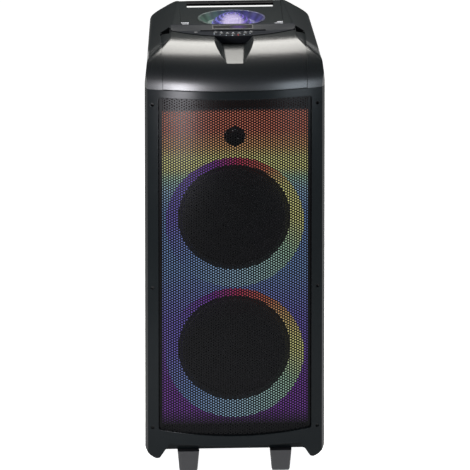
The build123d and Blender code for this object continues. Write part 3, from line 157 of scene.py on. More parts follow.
class Shader:
    """One node material with a Principled surface."""

    def __init__(self, name: str) -> None:
        """Make the material with its surface and output.

        Args:
            name: the material's name.
        """
        self.material = bpy.data.materials.new(name)
        self.material.use_nodes = True
        self.tree = self.material.node_tree
        self.tree.nodes.clear()
        self.surface = self.node("ShaderNodeBsdfPrincipled")
        self.node("ShaderNodeOutputMaterial", {}, {"Surface": self.surface.outputs[0]})

    def node(self, kind: str, settings: dict | None = None, inputs: dict | None = None) -> bpy.types.Node:
        """Add a node.

        Args:
            kind: the node's type.
            settings: properties, set before the sockets are filled; "stops" fills a colour ramp.
            inputs: number, colour, Value or socket for each input, by name or by place.

        Returns:
            The new node.
        """
        made = self.tree.nodes.new(kind)
        for key, setting in (settings or {}).items():
            if key == "stops":
                ramp = made.color_ramp
                while len(ramp.elements) < len(setting):
                    ramp.elements.new(0.5)
                for element, (place, colour) in zip(ramp.elements, setting):
                    element.position = place
                    element.color = (*colour, 1.0)
            else:
                setattr(made, key, setting)
        for key, source in (inputs or {}).items():
            self.feed(made.inputs[key], source)
        return made

    def feed(self, socket: bpy.types.NodeSocket, source: object) -> None:
        """Link or set an input.

        Args:
            socket: the input.
            source: Value or socket to link, or number or colour to set.
        """
        if isinstance(source, Value):
            source = source.socket
        if isinstance(source, bpy.types.NodeSocket):
            self.tree.links.new(source, socket)
        elif isinstance(source, tuple) and len(source) == 3 and len(socket.default_value) == 4:
            socket.default_value = (*source, 1.0)
        else:
            socket.default_value = source

    def dress(self, **inputs: object) -> None:
        """Fill sockets of the surface, an underscore in a name standing for a space."""
        for key, source in inputs.items():
            self.feed(self.surface.inputs[key.replace("_", " ")], source)

    def axes(self, centre: Place = (0.0, 0.0, 0.0)) -> tuple[Value, Value, Value]:
        """Coordinates of a point in the object's own axes.

        Args:
            centre: point that they are measured from.

        Returns:
            X, Y and Z.
        """
        place = self.node("ShaderNodeTexCoord").outputs["Object"]
        split = self.node("ShaderNodeSeparateXYZ", {}, {0: place})
        return tuple(Value(self, out) - middle for out, middle in zip(split.outputs, centre))

    def noise(self, scale: float, detail: float = 2.0) -> Value:
        """Noise in the object's own coordinates.

        Args:
            scale: waves to a metre.
            detail: finer layers over the first.

        Returns:
            Noise from 0 to 1.
        """
        place = self.node("ShaderNodeTexCoord").outputs["Object"]
        made = self.node("ShaderNodeTexNoise", {}, {"Vector": place, "Scale": scale, "Detail": detail})
        return Value(self, made.outputs["Fac"])

    def ramp(self, factor: Value, stops: Sequence[tuple[float, Colour]]) -> bpy.types.NodeSocket:
        """Colour from a ramp of (place, colour) stops."""
        return self.node("ShaderNodeValToRGB", {"stops": stops}, {0: factor}).outputs[0]

    def mix(self, factor: Value, first: object, second: object) -> bpy.types.NodeSocket:
        """Colour between first and second."""
        made = self.node("ShaderNodeMix", {"data_type": "RGBA"}, {0: factor, 6: first, 7: second})
        return made.outputs[2]

    def rounded(self, radius: float) -> bpy.types.NodeSocket:
        """Normal that turns softly over edges, radius metres wide."""
        return self.node("ShaderNodeBevel", {"samples": 6}, {"Radius": radius}).outputs[0]

    def relief(self, height: Value, depth: float, radius: float = 0.0) -> bpy.types.NodeSocket:
        """Normal from a height field.

        Args:
            height: field from 0 to 1.
            depth: metres between its 0 and its 1.
            radius: softening of the edges under it in metres, 0 for none.

        Returns:
            The normal's socket.
        """
        inputs = {"Height": height, "Distance": depth, "Strength": 1.0}
        if radius:
            inputs["Normal"] = self.rounded(radius)
        return self.node("ShaderNodeBump", {}, inputs).outputs[0]


# ---- finishes ------------------------------------------------------------------------------------
@dataclass(frozen=True)
class Moulded:
    """Moulded or painted surface with a fine grain, slightly uneven gloss and softened edges."""

    name: str
    colour: Colour
    roughness: float = 0.35
    grain: float = 0.00003
    grain_scale: float = 1400.0
    edge: float = 0.0012
    metallic: float = 0.0
    coat: float = 0.0
    mottling: float = 0.25
    specular: float = 0.5

    def make(self) -> bpy.types.Material:
        """Build the material.

        Returns:
            The material.
        """
        shader = Shader(self.name)
        broad = shader.noise(9.0, 3.0)
        fine = shader.noise(self.grain_scale, 1.0)
        lighter = tuple(part * (1 + self.mottling) for part in self.colour)
        shader.dress(
            Base_Color=shader.mix(broad, self.colour, lighter),
            Roughness=self.roughness + (broad - 0.5) * 0.10 + (fine - 0.5) * 0.06,
            Metallic=self.metallic,
            Coat_Weight=self.coat,
            Specular_IOR_Level=self.specular,
            Normal=shader.relief(fine, self.grain, self.edge),
        )
        return shader.material


@dataclass(frozen=True)
class GlossyBrow:
    """Black moulding, glossy in front of the console and matt behind it."""

    name: str
    colour: Colour = (0.0040, 0.0052, 0.0058)
    gloss: float = 0.27
    matt: float = 0.5
    specular: float = 0.10
    grain: float = 0.00002
    matt_from: float = -0.060
    glossy_from: float = -0.084
    edge: float = 0.0024

    def make(self) -> bpy.types.Material:
        """Build the material: a clear coat that fades out between two depths, over a grained matt base.

        Returns:
            The material.
        """
        shader = Shader(self.name)
        _, y, _ = shader.axes()
        broad = shader.noise(9.0, 3.0)
        fine = shader.noise(1500.0, 1.0)
        shader.dress(
            Base_Color=shader.mix(broad, self.colour, tuple(part * 1.25 for part in self.colour)),
            Roughness=self.matt + (fine - 0.5) * 0.08, Specular_IOR_Level=self.specular,
            Coat_Weight=y.step(self.matt_from, self.glossy_from), Coat_Roughness=self.gloss,
            Normal=shader.relief(fine, self.grain, self.edge),
        )
        return shader.material


class Hue(Enum):
    """Colours of the light behind the grille, as display colours."""

    NIGHT = (10, 4, 4)
    VIOLET = (130, 64, 174)
    INDIGO = (122, 108, 204)
    BLUE = (122, 154, 210)
    SKY = (156, 192, 220)
    MINT = (174, 214, 184)
    LEMON = (230, 228, 146)
    AMBER = (220, 165, 108)
    CORAL = (204, 112, 86)
    ROSE = (194, 54, 94)

    @property
    def light(self) -> Colour:
        """Linear colour."""
        return linear(*self.value)


@dataclass(frozen=True)
class Opal:
    """Milky plastic lit from behind."""

    name: str
    strength: float = 0.75
    colour: Colour = (0.03, 0.03, 0.032)

    def lit(self, shader: Shader, light: bpy.types.NodeSocket) -> bpy.types.Material:
        """Dress a shader as lit plastic.

        Args:
            shader: the shader.
            light: colour of the light behind it.

        Returns:
            The material.
        """
        shader.dress(
            Base_Color=self.colour, Roughness=0.4, Emission_Color=light, Emission_Strength=self.strength,
            Normal=shader.relief(shader.noise(260.0), 0.0001),
        )
        return shader.material


@dataclass(frozen=True)
class LitPanel(Opal):
    """Panel whose light runs through the rainbow from its foot to its head."""

    low: float = 0.0
    high: float = 1.0
    half_width: float = 0.155
    fade: float = 0.002
    hues: tuple[tuple[float, Hue], ...] = (
        (0.0, Hue.NIGHT), (0.05, Hue.VIOLET), (0.11, Hue.VIOLET), (0.33, Hue.INDIGO), (0.48, Hue.BLUE),
        (0.68, Hue.BLUE), (0.74, Hue.SKY), (0.78, Hue.MINT), (0.81, Hue.LEMON), (0.84, Hue.LEMON),
        (0.88, Hue.AMBER), (0.93, Hue.CORAL), (0.988, Hue.CORAL), (0.994, Hue.NIGHT),
    )

    def make(self) -> bpy.types.Material:
        """Build the material: hues by share of the height, black beyond half the panel's width.

        Returns:
            The material.
        """
        shader = Shader(self.name)
        x, _, z = shader.axes()
        share = (z - self.low) / (self.high - self.low)
        within = x.size().step(self.half_width + self.fade, self.half_width - self.fade)
        rainbow = shader.ramp(share, [(place, hue.light) for place, hue in self.hues])
        return self.lit(shader, shader.mix(within, (0.0, 0.0, 0.0), rainbow))


@dataclass(frozen=True)
class LitRing(Opal):
    """Ring whose hue changes with the angle round its centre."""

    height: float = 0.0
    lemon_until: float = 0.0
    hues: tuple[tuple[float, Hue], ...] = (
        (0.0, Hue.LEMON), (60.0, Hue.CORAL), (86.0, Hue.ROSE), (112.0, Hue.VIOLET), (150.0, Hue.INDIGO),
        (180.0, Hue.INDIGO), (225.0, Hue.BLUE), (270.0, Hue.SKY), (330.0, Hue.MINT),
    )

    def make(self) -> bpy.types.Material:
        """Build the material: hues by degrees from the right, the ramp starting and ending at the left.

        Returns:
            The material.
        """
        shader = Shader(self.name)
        x, _, z = shader.axes((0.0, 0.0, self.height))
        turn = z.angle_to(x) / (2 * pi) + 0.5
        hues = (*self.hues, (self.lemon_until, Hue.LEMON))
        stops = [(((degrees + 180.0) % 360.0) / 360.0, hue.light) for degrees, hue in hues]
        return self.lit(shader, shader.ramp(turn, sorted([*stops, (1.0, min(stops)[1])])))


@dataclass(frozen=True)
class GlowingDome:
    """Clear dome over a cluster of lamps: spokes and rings of facets, with a painted highlight in front of
    the middle.
    """

    name: str
    centre: Place
    radius: float
    spokes: int = 20
    rings: float = 34.0

    def make(self) -> bpy.types.Material:
        """Build the material: lamp light cut into rings by the distance from the axis and into spokes by the
        angle, under a painted highlight that falls off with the distance from a point in front of the axis.

        Returns:
            The material.
        """
        shader = Shader(self.name)
        x, y, _ = shader.axes(self.centre)
        away = (x * x + y * y) ** 0.5 / self.radius
        turn = y.angle_to(x)
        rings = (away * self.rings).sine().step(-0.2, 0.9)
        spokes = (turn * float(self.spokes)).sine().size().step(0.15, 0.5)
        # painted highlight: the inner lamps' bright spot, fixed 26 mm in front of the axis and laid over the
        # facets' lamp light
        front = ((x - 0.002) ** 2.0 + (y + 0.026) ** 2.0) ** 0.5
        painted_highlight = front.step(0.031, 0.012)
        hue = shader.mix(x.step(-0.03, 0.03), linear(120, 120, 235), linear(120, 80, 225))
        facets = shader.mix(rings * spokes, linear(34, 30, 96), hue)
        shader.dress(
            Base_Color=(0.03, 0.03, 0.06), Roughness=0.16,
            Emission_Color=shader.mix(painted_highlight, facets, linear(206, 190, 236)), Emission_Strength=0.62,
            Specular_IOR_Level=0.2, Normal=shader.relief(rings + spokes, 0.0006),
        )
        return shader.material


@dataclass(frozen=True)
class BowlWithPaintedGlow:
    """Bright metal dish with the dome's light painted on it as a glow, green on one side and violet on the
    other.
    """

    name: str
    centre: Place

    def make(self) -> bpy.types.Material:
        """Build the material.

        Returns:
            The material.
        """
        shader = Shader(self.name)
        x, y, _ = shader.axes(self.centre)
        side = x.step(-0.045, 0.045)
        reach = ((x * x + y * y * 2.2) ** 0.5).step(0.085, 0.035)
        streak = (y.angle_to(x) * 9.0).sine().size()
        # painted glow: the dome's light on the dish, green to the left and violet to the right, strongest
        # near the dome and broken into streaks that also vary the real roughness
        painted_glow_hue = shader.mix(side, linear(70, 116, 92), linear(66, 56, 168))
        glow = shader.mix(reach * (0.35 + streak * 0.65), (0.0, 0.0, 0.0), painted_glow_hue)
        shader.dress(
            Base_Color=(0.10, 0.104, 0.115), Metallic=0.9, Roughness=0.30 + streak * 0.1,
            Emission_Color=glow, Emission_Strength=0.8, Normal=shader.rounded(0.001),
        )
        return shader.material


@dataclass(frozen=True)
class Glow:
    """Small lamp or printed mark of one colour, with a slightly darker rim of dust; on anything but a lamp
    the emission is a painted glow.
    """

    name: str
    colour: Colour
    strength: float

    def make(self) -> bpy.types.Material:
        """Build the material.

        Returns:
            The material.
        """
        shader = Shader(self.name)
        dust = shader.noise(700.0)
        dim = tuple(part * 0.7 for part in self.colour)
        shader.dress(
            Base_Color=shader.mix(dust, dim, self.colour), Roughness=0.45,
            Emission_Color=shader.mix(dust, dim, self.colour), Emission_Strength=self.strength,
        )
        return shader.material


@dataclass(frozen=True)
class SmokedGlass:
    """Black window in front of a sleeping display, with a painted reflection of the dome's violet light on
    one side.
    """

    name: str
    reach: float = 0.022

    def make(self) -> bpy.types.Material:
        """Build the material: the painted violet reflection fades with the distance from a line right of the
        middle.

        Returns:
            The material.
        """
        shader = Shader(self.name)
        x, _, _ = shader.axes((0.012, 0.0, 0.0))
        # painted reflection of the dome's violet light in a band right of the middle, broken up by the noise
        # that also varies the real roughness
        painted_reflection_band = x.size().step(self.reach, 0.0)
        smudge_and_reflection_streaks = shader.noise(240.0, 3.0)
        shader.dress(
            Base_Color=(0.002, 0.002, 0.003), Roughness=0.30 + smudge_and_reflection_streaks * 0.1, Specular_IOR_Level=0.03,
            Emission_Color=shader.mix(painted_reflection_band * smudge_and_reflection_streaks, (0.0, 0.0, 0.0), linear(88, 44, 150)),
            Emission_Strength=0.6,
        )
        return shader.material


@dataclass(frozen=True)
class Woven:
    """Pulp, cloth or rubber with ribs that run round an axis along Y."""

    name: str
    colour: Colour
    centre_z: float
    ribs: float
    roughness: float = 0.75
    depth: float = 0.0002

    def make(self) -> bpy.types.Material:
        """Build the material: ribs follow the sine of the radius, grain comes from noise.

        Returns:
            The material.
        """
        shader = Shader(self.name)
        x, _, z = shader.axes((0.0, 0.0, self.centre_z))
        radius = (x * x + z * z) ** 0.5
        grain = shader.noise(900.0)
        height = (radius * self.ribs).sine() * 0.5 + grain * 0.5
        lighter = tuple(part * 1.8 for part in self.colour)
        shader.dress(
            Base_Color=shader.mix(grain, self.colour, lighter), Roughness=self.roughness + grain * 0.1,
            Normal=shader.relief(height, self.depth),
        )
        return shader.material


# ---- meshes --------------------------------------------------------------------------------------
def piece(name: str, vertices: np.ndarray, faces: Iterable[Sequence[int]], material: bpy.types.Material,
          body: str = CABINET, smooth: float | None = 30.0) -> bpy.types.Object:
    """Make a mesh object that rides on a body.

    Args:
        name: the piece's name.
        vertices: array of points in metres.
        faces: vertex numbers of each face.
        material: its finish.
        body: body that carries it.
        smooth: edges below this many degrees are shaded smooth, None for flat faces.

    Returns:
        The object.
    """
    mesh = bpy.data.meshes.new(name)
    mesh.from_pydata(np.asarray(vertices, float).tolist(), [], [list(face) for face in faces])
    mesh.validate()
    mesh.update()
    if smooth is not None:
        mesh.shade_smooth()
        mesh.set_sharp_from_angle(angle=radians(smooth))
    mesh.materials.append(material)
    made = bpy.data.objects.new(name, mesh)
    bpy.context.scene.collection.objects.link(made)
    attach(made, body)
    LOG.info("%s: %d faces on %s", name, len(mesh.polygons), body)
    return made


def outward(made: bpy.types.Object) -> None:
    """Turn the faces of a closed piece outwards.

    Args:
        made: the piece.
    """
    shape = bmesh.new()
    shape.from_mesh(made.data)
    bmesh.ops.recalc_face_normals(shape, faces=shape.faces)
    shape.to_mesh(made.data)
    shape.free()


def grid_faces(rows: int, columns: int, close_rows: bool = False, close_columns: bool = False) -> np.ndarray:
    """Quads over a grid of points that are numbered row by row.

    Args:
        rows: number of rows.
        columns: points in a row.
        close_rows: whether the last row joins the first.
        close_columns: whether the last column joins the first.

    Returns:
        Four point numbers for each quad.
    """
    row = np.arange(rows if close_rows else rows - 1)
    column = np.arange(columns if close_columns else columns - 1)
    r, c = (part.ravel() for part in np.meshgrid(row, column, indexing="ij"))
    next_r, next_c = (r + 1) % rows, (c + 1) % columns
    here, above = r * columns, next_r * columns
    return np.stack([here + c, here + next_c, above + next_c, above + c], 1)


def spun(profile: np.ndarray, centre: Sequence[float], axis: str, turns: int) -> np.ndarray:
    """Points of a profile of (radius, along) turned about an axis through centre.

    The point at angle a is centre + along * axis + radius * (cos a * first + sin a * second).

    Args:
        profile: (radius, along) of each point.
        centre: point on the axis from which along is measured.
        axis: "x", "y" or "z".
        turns: number of angles.

    Returns:
        Points by angle and by place on the profile.
    """
    first, second, along = {"x": (1, 2, 0), "y": (2, 0, 1), "z": (0, 1, 2)}[axis]
    angle = np.linspace(0, 2 * pi, turns, endpoint=False)[:, None]
    points = np.zeros((turns, len(profile), 3)) + np.asarray(centre, float)
    points[:, :, first] += profile[None, :, 0] * np.cos(angle)
    points[:, :, second] += profile[None, :, 0] * np.sin(angle)
    points[:, :, along] += profile[None, :, 1]
    return points


def smooth_copy(node: bpy.types.Object, name: str, material: bpy.types.Material, body: str,
                angle: float = 28.0) -> bpy.types.Object:
    """Copy of a construction node with its triangles merged and its curved faces shaded smooth.

    Args:
        node: the node's object.
        name: name of the new piece.
        material: its finish.
        body: body that carries it.
        angle: edges sharper than this many degrees stay crisp.

    Returns:
        The piece, which stands for the node.
    """
    mesh = node.data.copy()
    mesh.name = name
    shape = bmesh.new()
    shape.from_mesh(mesh)
    bmesh.ops.remove_doubles(shape, verts=shape.verts, dist=2e-6)
    bmesh.ops.dissolve_degenerate(shape, dist=1e-6, edges=shape.edges)
    shape.to_mesh(mesh)
    shape.free()
    if "custom_normal" in mesh.attributes:
        mesh.attributes.remove(mesh.attributes["custom_normal"])
    mesh.shade_smooth()
    mesh.set_sharp_from_angle(angle=radians(angle))
    mesh.materials.clear()
    mesh.materials.append(material)
    made = bpy.data.objects.new(name, mesh)
    bpy.context.scene.collection.objects.link(made)
    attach(made, body)
    dress(node, material)
    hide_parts(node.name)
    LOG.info("%s stands for %s: %d faces", name, node.name, len(mesh.polygons))
    return made


def dress(node: bpy.types.Object, material: bpy.types.Material) -> None:
    """Give a construction node its finish."""
    node.data.materials.clear()
    node.data.materials.append(material)


# ---- front ---------------------------------------------------------------------------------------
@dataclass
class Grille:
    """Curved steel sheet with staggered hexagonal holes."""

    nodes: dict
    bulge_radius: float = 0.640
    inset: float = 0.0053
    pitch: float = 0.00564
    hole: float = 0.0029
    thickness: float = 0.0008
    half_width: float = 0.1500
    margin: float = 0.0035
    border: float = 0.1592
    merge: float = 0.00002
    finish: Moulded = Moulded(
        "grille_paint", (0.0018, 0.0018, 0.002), 0.24, 0.00001, 2600.0, 0.0, mottling=0.4, specular=0.10
    )

    def build(self) -> bpy.types.Object:
        """Build the sheet.

        Centres lie on columns pitch * sin 60 apart, every second column half a pitch higher. Each hole is
        a hexagon inside its hexagonal cell: six quads join cell and hole, six more run back through the
        sheet. A point at x lies on the cylinder y = middle - sqrt(radius^2 - x^2). A plain strip closes
        each side.

        Returns:
            The sheet.
        """
        low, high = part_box("grille")
        column_step = self.pitch * sin(radians(60))
        outermost = int(self.half_width / column_step)
        columns = np.arange(-outermost, outermost + 1)
        rows = np.arange(int((high.z - low.z - 2 * self.margin) / self.pitch))
        column, row = (part.ravel() for part in np.meshgrid(columns, rows, indexing="ij"))
        centre_x = column * column_step
        centre_z = low.z + 2 * self.margin + (row + 0.5 * (column % 2)) * self.pitch
        angle = np.arange(6) * radians(60)
        cell = self.pitch / 2 / cos(radians(30))
        hole = self.hole / 2 / cos(radians(30))
        shape = np.zeros((len(centre_x), 3, 6, 3))
        radius = self.bulge_radius - self.inset
        middle = low.y + radius
        for ring, (size, back) in enumerate(((cell, 0.0), (hole, 0.0), (hole, self.thickness))):
            x = centre_x[:, None] + size * np.cos(angle)
            shape[:, ring, :, 0] = x
            shape[:, ring, :, 1] = middle - np.sqrt((radius - back) ** 2 - x**2)
            shape[:, ring, :, 2] = centre_z[:, None] + size * np.sin(angle)
        points = shape.reshape(-1, 3)
        keys = np.round(points / self.merge).astype(int)
        _, first, number = np.unique(keys, axis=0, return_index=True, return_inverse=True)
        base = grid_faces(3, 6, close_columns=True)[:, ::-1]
        faces = (base[None] + 18 * np.arange(len(centre_x))[:, None, None]).reshape(-1, 4)
        mesh_points = [points[first]]
        mesh_faces = [number.ravel()[faces]]
        edge = outermost * column_step
        for side in (-1, 1):
            x = side * np.linspace(edge, self.border, 5)[None, :] + np.zeros((2, 1))
            z = np.array([[low.z + self.margin], [high.z - self.margin]]) + np.zeros((1, 5))
            y = middle - np.sqrt((radius - 0.0001) ** 2 - x**2)
            start = sum(len(part) for part in mesh_points)
            mesh_points.append(np.stack([x, y, z], 2).reshape(-1, 3))
            mesh_faces.append(grid_faces(2, 5)[:, ::-side] + start)
        paint = self.finish.make()
        vertices, faces = np.concatenate(mesh_points), np.concatenate(mesh_faces)
        sheet = piece("grille_sheet", vertices, faces, paint, smooth=None)
        dress(self.nodes["grille"], paint)
        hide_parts("grille")
        return sheet


class Position(Enum):
    """Which woofer a ring belongs to, with the degrees above the right up to which its ring stays yellow."""

    LOWER = 8.0
    UPPER = 34.0


@dataclass
class Woofer:
    """Lit ring, cone, surround and the parts behind them."""

    nodes: dict
    position: Position

    @property
    def name(self) -> str:
        """Word that starts the names of its nodes."""
        return self.position.name.lower()

    def build(self) -> None:
        """Dress the nodes, with smooth copies of the ones that show through the grille."""
        low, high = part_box(f"{self.name}_light_ring")
        height = (low.z + high.z) / 2
        ring = LitRing(f"{self.name}_ring_light", height=height, lemon_until=self.position.value)
        paper = Woven(f"{self.name}_cone_pulp", (0.008, 0.008, 0.009), height, 1500.0)
        rubber = Woven(f"{self.name}_surround_rubber", (0.006, 0.006, 0.006), height, 3200.0, 0.5)
        cloth = Woven(f"{self.name}_spider_weave", (0.35, 0.22, 0.08), height, 1800.0, 0.85)
        steel = Moulded(f"{self.name}_basket_paint", (0.01, 0.01, 0.01), 0.5)
        for part, finish, body, slot in (
            ("light_ring", ring, CABINET, "opal_light"),
            ("cone", paper, f"{self.name}_cone", "cone_paper"),
            ("surround", rubber, CABINET, "surround_rubber"),
            ("basket", steel, CABINET, "basket_steel"),
        ):
            node = self.nodes[f"{self.name}_{part}"]
            smooth_copy(node, f"{self.name}_{part}_skin", finish.make(), body)
        dress(self.nodes[f"{self.name}_spider"], cloth.make())
        for part, finish in (
            ("voice_coil", Moulded(f"{self.name}_winding", (0.5, 0.2, 0.07), 0.3, 0.00005, 3000.0, 0, 0.8)),
            ("magnet", Moulded(f"{self.name}_ferrite", (0.03, 0.03, 0.032), 0.55, 0.0001, 500.0)),
        ):
            dress(self.nodes[f"{self.name}_{part}"], finish.make())


@dataclass
class Front:
    """Front frame, lit panel, tweeter and fasteners."""

    nodes: dict

    def build(self) -> None:
        """Build and dress the front."""
        body = Moulded("frame_plastic", (0.004, 0.0056, 0.0062), 0.20, 0.00001, 1500.0, 0.0018, specular=0.12)
        smooth_copy(self.nodes["front_frame"], "front_bezel", body.make(), CABINET)
        low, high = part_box("light_panel")
        dress(self.nodes["light_panel"], LitPanel("panel_light", low=low.z, high=high.z).make())
        dress(self.nodes["led_strips"], Moulded("lamp_strip", (0.6, 0.6, 0.58), 0.5).make())
        dress(self.nodes["front_baffle"], Moulded("baffle_board_paint", (0.01, 0.01, 0.01), 0.7).make())
        gloss = Moulded("horn_gloss", (0.008, 0.009, 0.009), 0.12, 0.0, 900.0, 0.001, 0.0, 0.5)
        smooth_copy(self.nodes["tweeter_horn"], "tweeter_horn_skin", gloss.make(), CABINET)
        silk = Moulded("tweeter_silk", (0.02, 0.022, 0.028), 0.22, 0.00004, 2200.0, 0.0, 0.0, 0.8)
        smooth_copy(self.nodes["tweeter_dome"], "tweeter_dome_skin", silk.make(), "tweeter_dome")
        dress(self.nodes["tweeter_motor"], Moulded("tweeter_ferrite", (0.03, 0.03, 0.032), 0.5).make())
        steel = Moulded("blackened_screw", (0.02, 0.02, 0.02), 0.35, 0.00001, 2000.0, 0.0003, 0.8)
        for name in ("woofer_screws", "frame_screws", "rear_panel_screws"):
            dress(self.nodes[name], steel.make())


# ---- top -----------------------------------------------------------------------------------------
@dataclass
class Dome:
    """Faceted lens over the lamps, and the bright dish round it."""

    nodes: dict
    facets: int = 40
    rings: int = 9
    flute: float = 0.0006
    rise: float = 0.021
    seat: float = 0.004

    def build(self) -> None:
        """Build the lens and dress the dish and the drive."""
        low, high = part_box("dome_lens")
        centre = ((low.x + high.x) / 2, (low.y + high.y) / 2, high.z - self.rise)
        radius = (high.x - low.x) / 2
        self.lens(centre, radius, self.rise, low.z)
        # the dish carries a painted glow of the dome's light
        painted_glow_bowl = BowlWithPaintedGlow("bowl_metal", centre)
        smooth_copy(self.nodes["dome_bowl"], "dome_dish", painted_glow_bowl.make(), CABINET)
        spindle = Moulded("spindle_steel", (0.5, 0.5, 0.5), 0.25, metallic=1.0)
        dress(self.nodes["dome_spindle"], spindle.make())
        can = Moulded("motor_can", (0.35, 0.35, 0.36), 0.35, metallic=0.9)
        dress(self.nodes["dome_motor"], can.make())

    def lens(self, centre: Place, radius: float, rise: float, floor: float) -> None:
        """Build the lens.

        A point at angle a and share t of the way out lies at radius r * t and at the height of a sphere
        through the top and the rim; every second line of points is drawn in a little, which leaves facets.
        A short wall and a flat floor close it below.

        Args:
            centre: middle of the lens's rim.
            radius: radius of the rim.
            rise: top above the rim.
            floor: height of the lens's lowest point.
        """
        ball = (radius**2 + rise**2) / (2 * rise)
        share = np.linspace(0.0, 1.0, self.rings + 1)[1:]
        angle = np.linspace(0, 2 * pi, self.facets, endpoint=False)
        t, a = np.meshgrid(share, angle, indexing="ij")
        drawn = self.flute * ((np.arange(self.facets) + np.arange(self.rings)[:, None]) % 2) * (t < 1)
        out = radius * t - drawn
        up = centre[2] + rise - ball + np.sqrt(np.maximum(ball**2 - out**2, 0)) - drawn
        dome = np.stack([centre[0] + out * np.cos(a), centre[1] + out * np.sin(a), up], 2)
        wall = dome[-1:].copy()
        base = floor + self.seat
        wall[..., 2] = base
        grid = np.concatenate([dome, wall]).reshape(-1, 3)
        top, bottom = len(grid), len(grid) + 1
        points = np.vstack([grid, (*centre[:2], centre[2] + rise), (*centre[:2], base)])
        quads = grid_faces(self.rings + 1, self.facets, close_columns=True)
        ring = np.arange(self.facets)
        last = self.rings * self.facets
        fans = [(top, i, (i + 1) % self.facets) for i in ring]
        fans += [(bottom, last + (i + 1) % self.facets, last + i) for i in ring]
        glow = GlowingDome("dome_light", centre, radius).make()
        faces = [*quads[:, ::-1].tolist(), *fans]
        made = piece("dome_lens_facets", points, faces, glow, "dome", smooth=None)
        outward(made)
        dress(self.nodes["dome_lens"], glow)
        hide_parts("dome_lens")


@dataclass
class Console:
    """Control panel with its window, keys, printed marks and lamps."""

    nodes: dict
    keys: tuple[str, ...] = ("power", "source", "previous", "play", "next", "softer", "louder", "light")
    lip_rise: float = 0.00015
    lip_drop: float = 0.0055
    deck_drop: float = 0.0011
    window_lip: float = 0.0016
    mark: tuple[float, float] = (0.0016, 0.00035)
    short_mark: tuple[float, float] = (0.0009, 0.00035)
    lamp: tuple[float, float] = (0.0008, 0.0006)
    deck_marks: tuple[tuple[float, float, float, float], ...] = (
        (-0.097, 0.010, 0.0100, 0.0011), (-0.094, 0.003, 0.0065, 0.0009),
        (-0.088, -0.003, 0.0060, 0.0007), (0.097, 0.010, 0.0060, 0.0011),
        (0.095, 0.002, 0.0090, 0.0009), (0.098, -0.003, 0.0080, 0.0009),
    )

    def build(self) -> None:
        """Build and dress the console."""
        shell = Moulded("console_plastic", (0.006, 0.007, 0.009), 0.42, 0.00001, 1500.0, 0.001, specular=0.06)
        smooth_copy(self.nodes["control_panel"], "console_shell", shell.make(), CABINET)
        dress(self.nodes["display_window"], SmokedGlass("window_glass").make())
        dress(self.nodes["control_board"], Moulded("board_lacquer", (0.01, 0.09, 0.03), 0.4).make())
        key = Moulded("key_plastic", (0.035, 0.037, 0.04), 0.35, 0.0, 1500.0, 0.0005)
        for name in self.keys:
            body = f"{name}_button"
            smooth_copy(self.nodes[body], f"{name}_key", key.make(), body)
        self.window_border()
        self.marks()

    def slope(self, x: np.ndarray, along: np.ndarray, lift: float) -> np.ndarray:
        """Points on the console's sloped face.

        Args:
            x: their X.
            along: their place, from 0 at the foot of the window to 1 at its head.
            lift: height above the face.

        Returns:
            The points.
        """
        low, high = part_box("display_window")
        foot = Vector((0.0, low.y, low.z + self.window_lip))
        head = Vector((0.0, high.y, high.z))
        flat = np.stack([x, foot.y + along * (head.y - foot.y), foot.z + along * (head.z - foot.z)], -1)
        flat[..., 2] += lift
        return flat

    def window_border(self) -> None:
        """Thin dark rim round the window: four rectangles on the slope joined by quads."""
        low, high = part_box("display_window")
        corner = np.array([(-1, 0), (1, 0), (1, 1), (-1, 1)], float)
        loops = []
        for grow, lift in ((0.0002, 0.0), (0.0002, 0.0005), (0.0012, 0.0005), (0.0012, -0.0002)):
            x = corner[:, 0] * (high.x + grow)
            along = corner[:, 1] + np.where(corner[:, 1] > 0.5, 1, -1) * grow / (high.y - low.y)
            loops.append(self.slope(x, along, lift + 0.0002))
        points = np.concatenate(loops)
        # the rim's emission is a faint painted glow
        line = Glow("window_line", linear(16, 16, 22), 0.02).make()
        made = piece("window_border", points, grid_faces(4, 4, True, True), line, smooth=None)
        outward(made)

    def bars(self, name: str, boxes: Sequence[tuple[float, float, float, float]], level: float,
             material: bpy.types.Material) -> None:
        """Flat printed bars at one height.

        Args:
            name: name of the piece.
            boxes: middle and half sizes in X and Y of each bar.
            level: height on which they lie.
            material: their finish.
        """
        corner = np.array([(-1, -1), (1, -1), (1, 1), (-1, 1)], float)
        points, faces = [], []
        for x, y, half_x, half_y in boxes:
            start = len(points)
            for z, shrink in ((level, 1.0), (level + self.lip_rise, 0.86)):
                points += [(x + cx * half_x * shrink, y + cy * half_y * shrink, z) for cx, cy in corner]
            sides = grid_faces(2, 4, close_columns=True)
            ends = np.array([(4, 5, 6, 7), (3, 2, 1, 0)])
            faces += (np.concatenate([sides, ends]) + start).tolist()
        made = piece(name, np.array(points), faces, material, smooth=None)

    def marks(self) -> None:
        """Printed marks beside the keys and on the deck, and a row of small lamps on the lip."""
        # the printed marks also give off a faint painted glow
        print_with_painted_glow = Glow("printed_mark", linear(176, 178, 186), 0.25).make()
        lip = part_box("control_panel")[1].z - self.lip_drop
        boxes, lamps, red = [], [], []
        for index, name in enumerate(self.keys[:-1]):
            low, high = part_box(f"{name}_button")
            x, y = (low.x + high.x) / 2, (low.y + high.y) / 2
            boxes.append((x, y + 0.0078, *self.mark))
            if index % 2:
                boxes.append((x, y + 0.0090, *self.short_mark))
            (red if name == "next" else lamps).append((x - 0.0025, y - 0.0072, *self.lamp))
        self.bars("key_marks", boxes, lip, print_with_painted_glow)
        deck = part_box("dome_bowl")[1].z - self.deck_drop
        self.bars("deck_marks", self.deck_marks, deck, print_with_painted_glow)
        self.bars("key_lamps", lamps, lip, Glow("white_lamp", linear(190, 205, 220), 0.9).make())
        self.bars("key_lamp_red", red, lip, Glow("red_lamp", linear(230, 60, 60), 1.4).make())


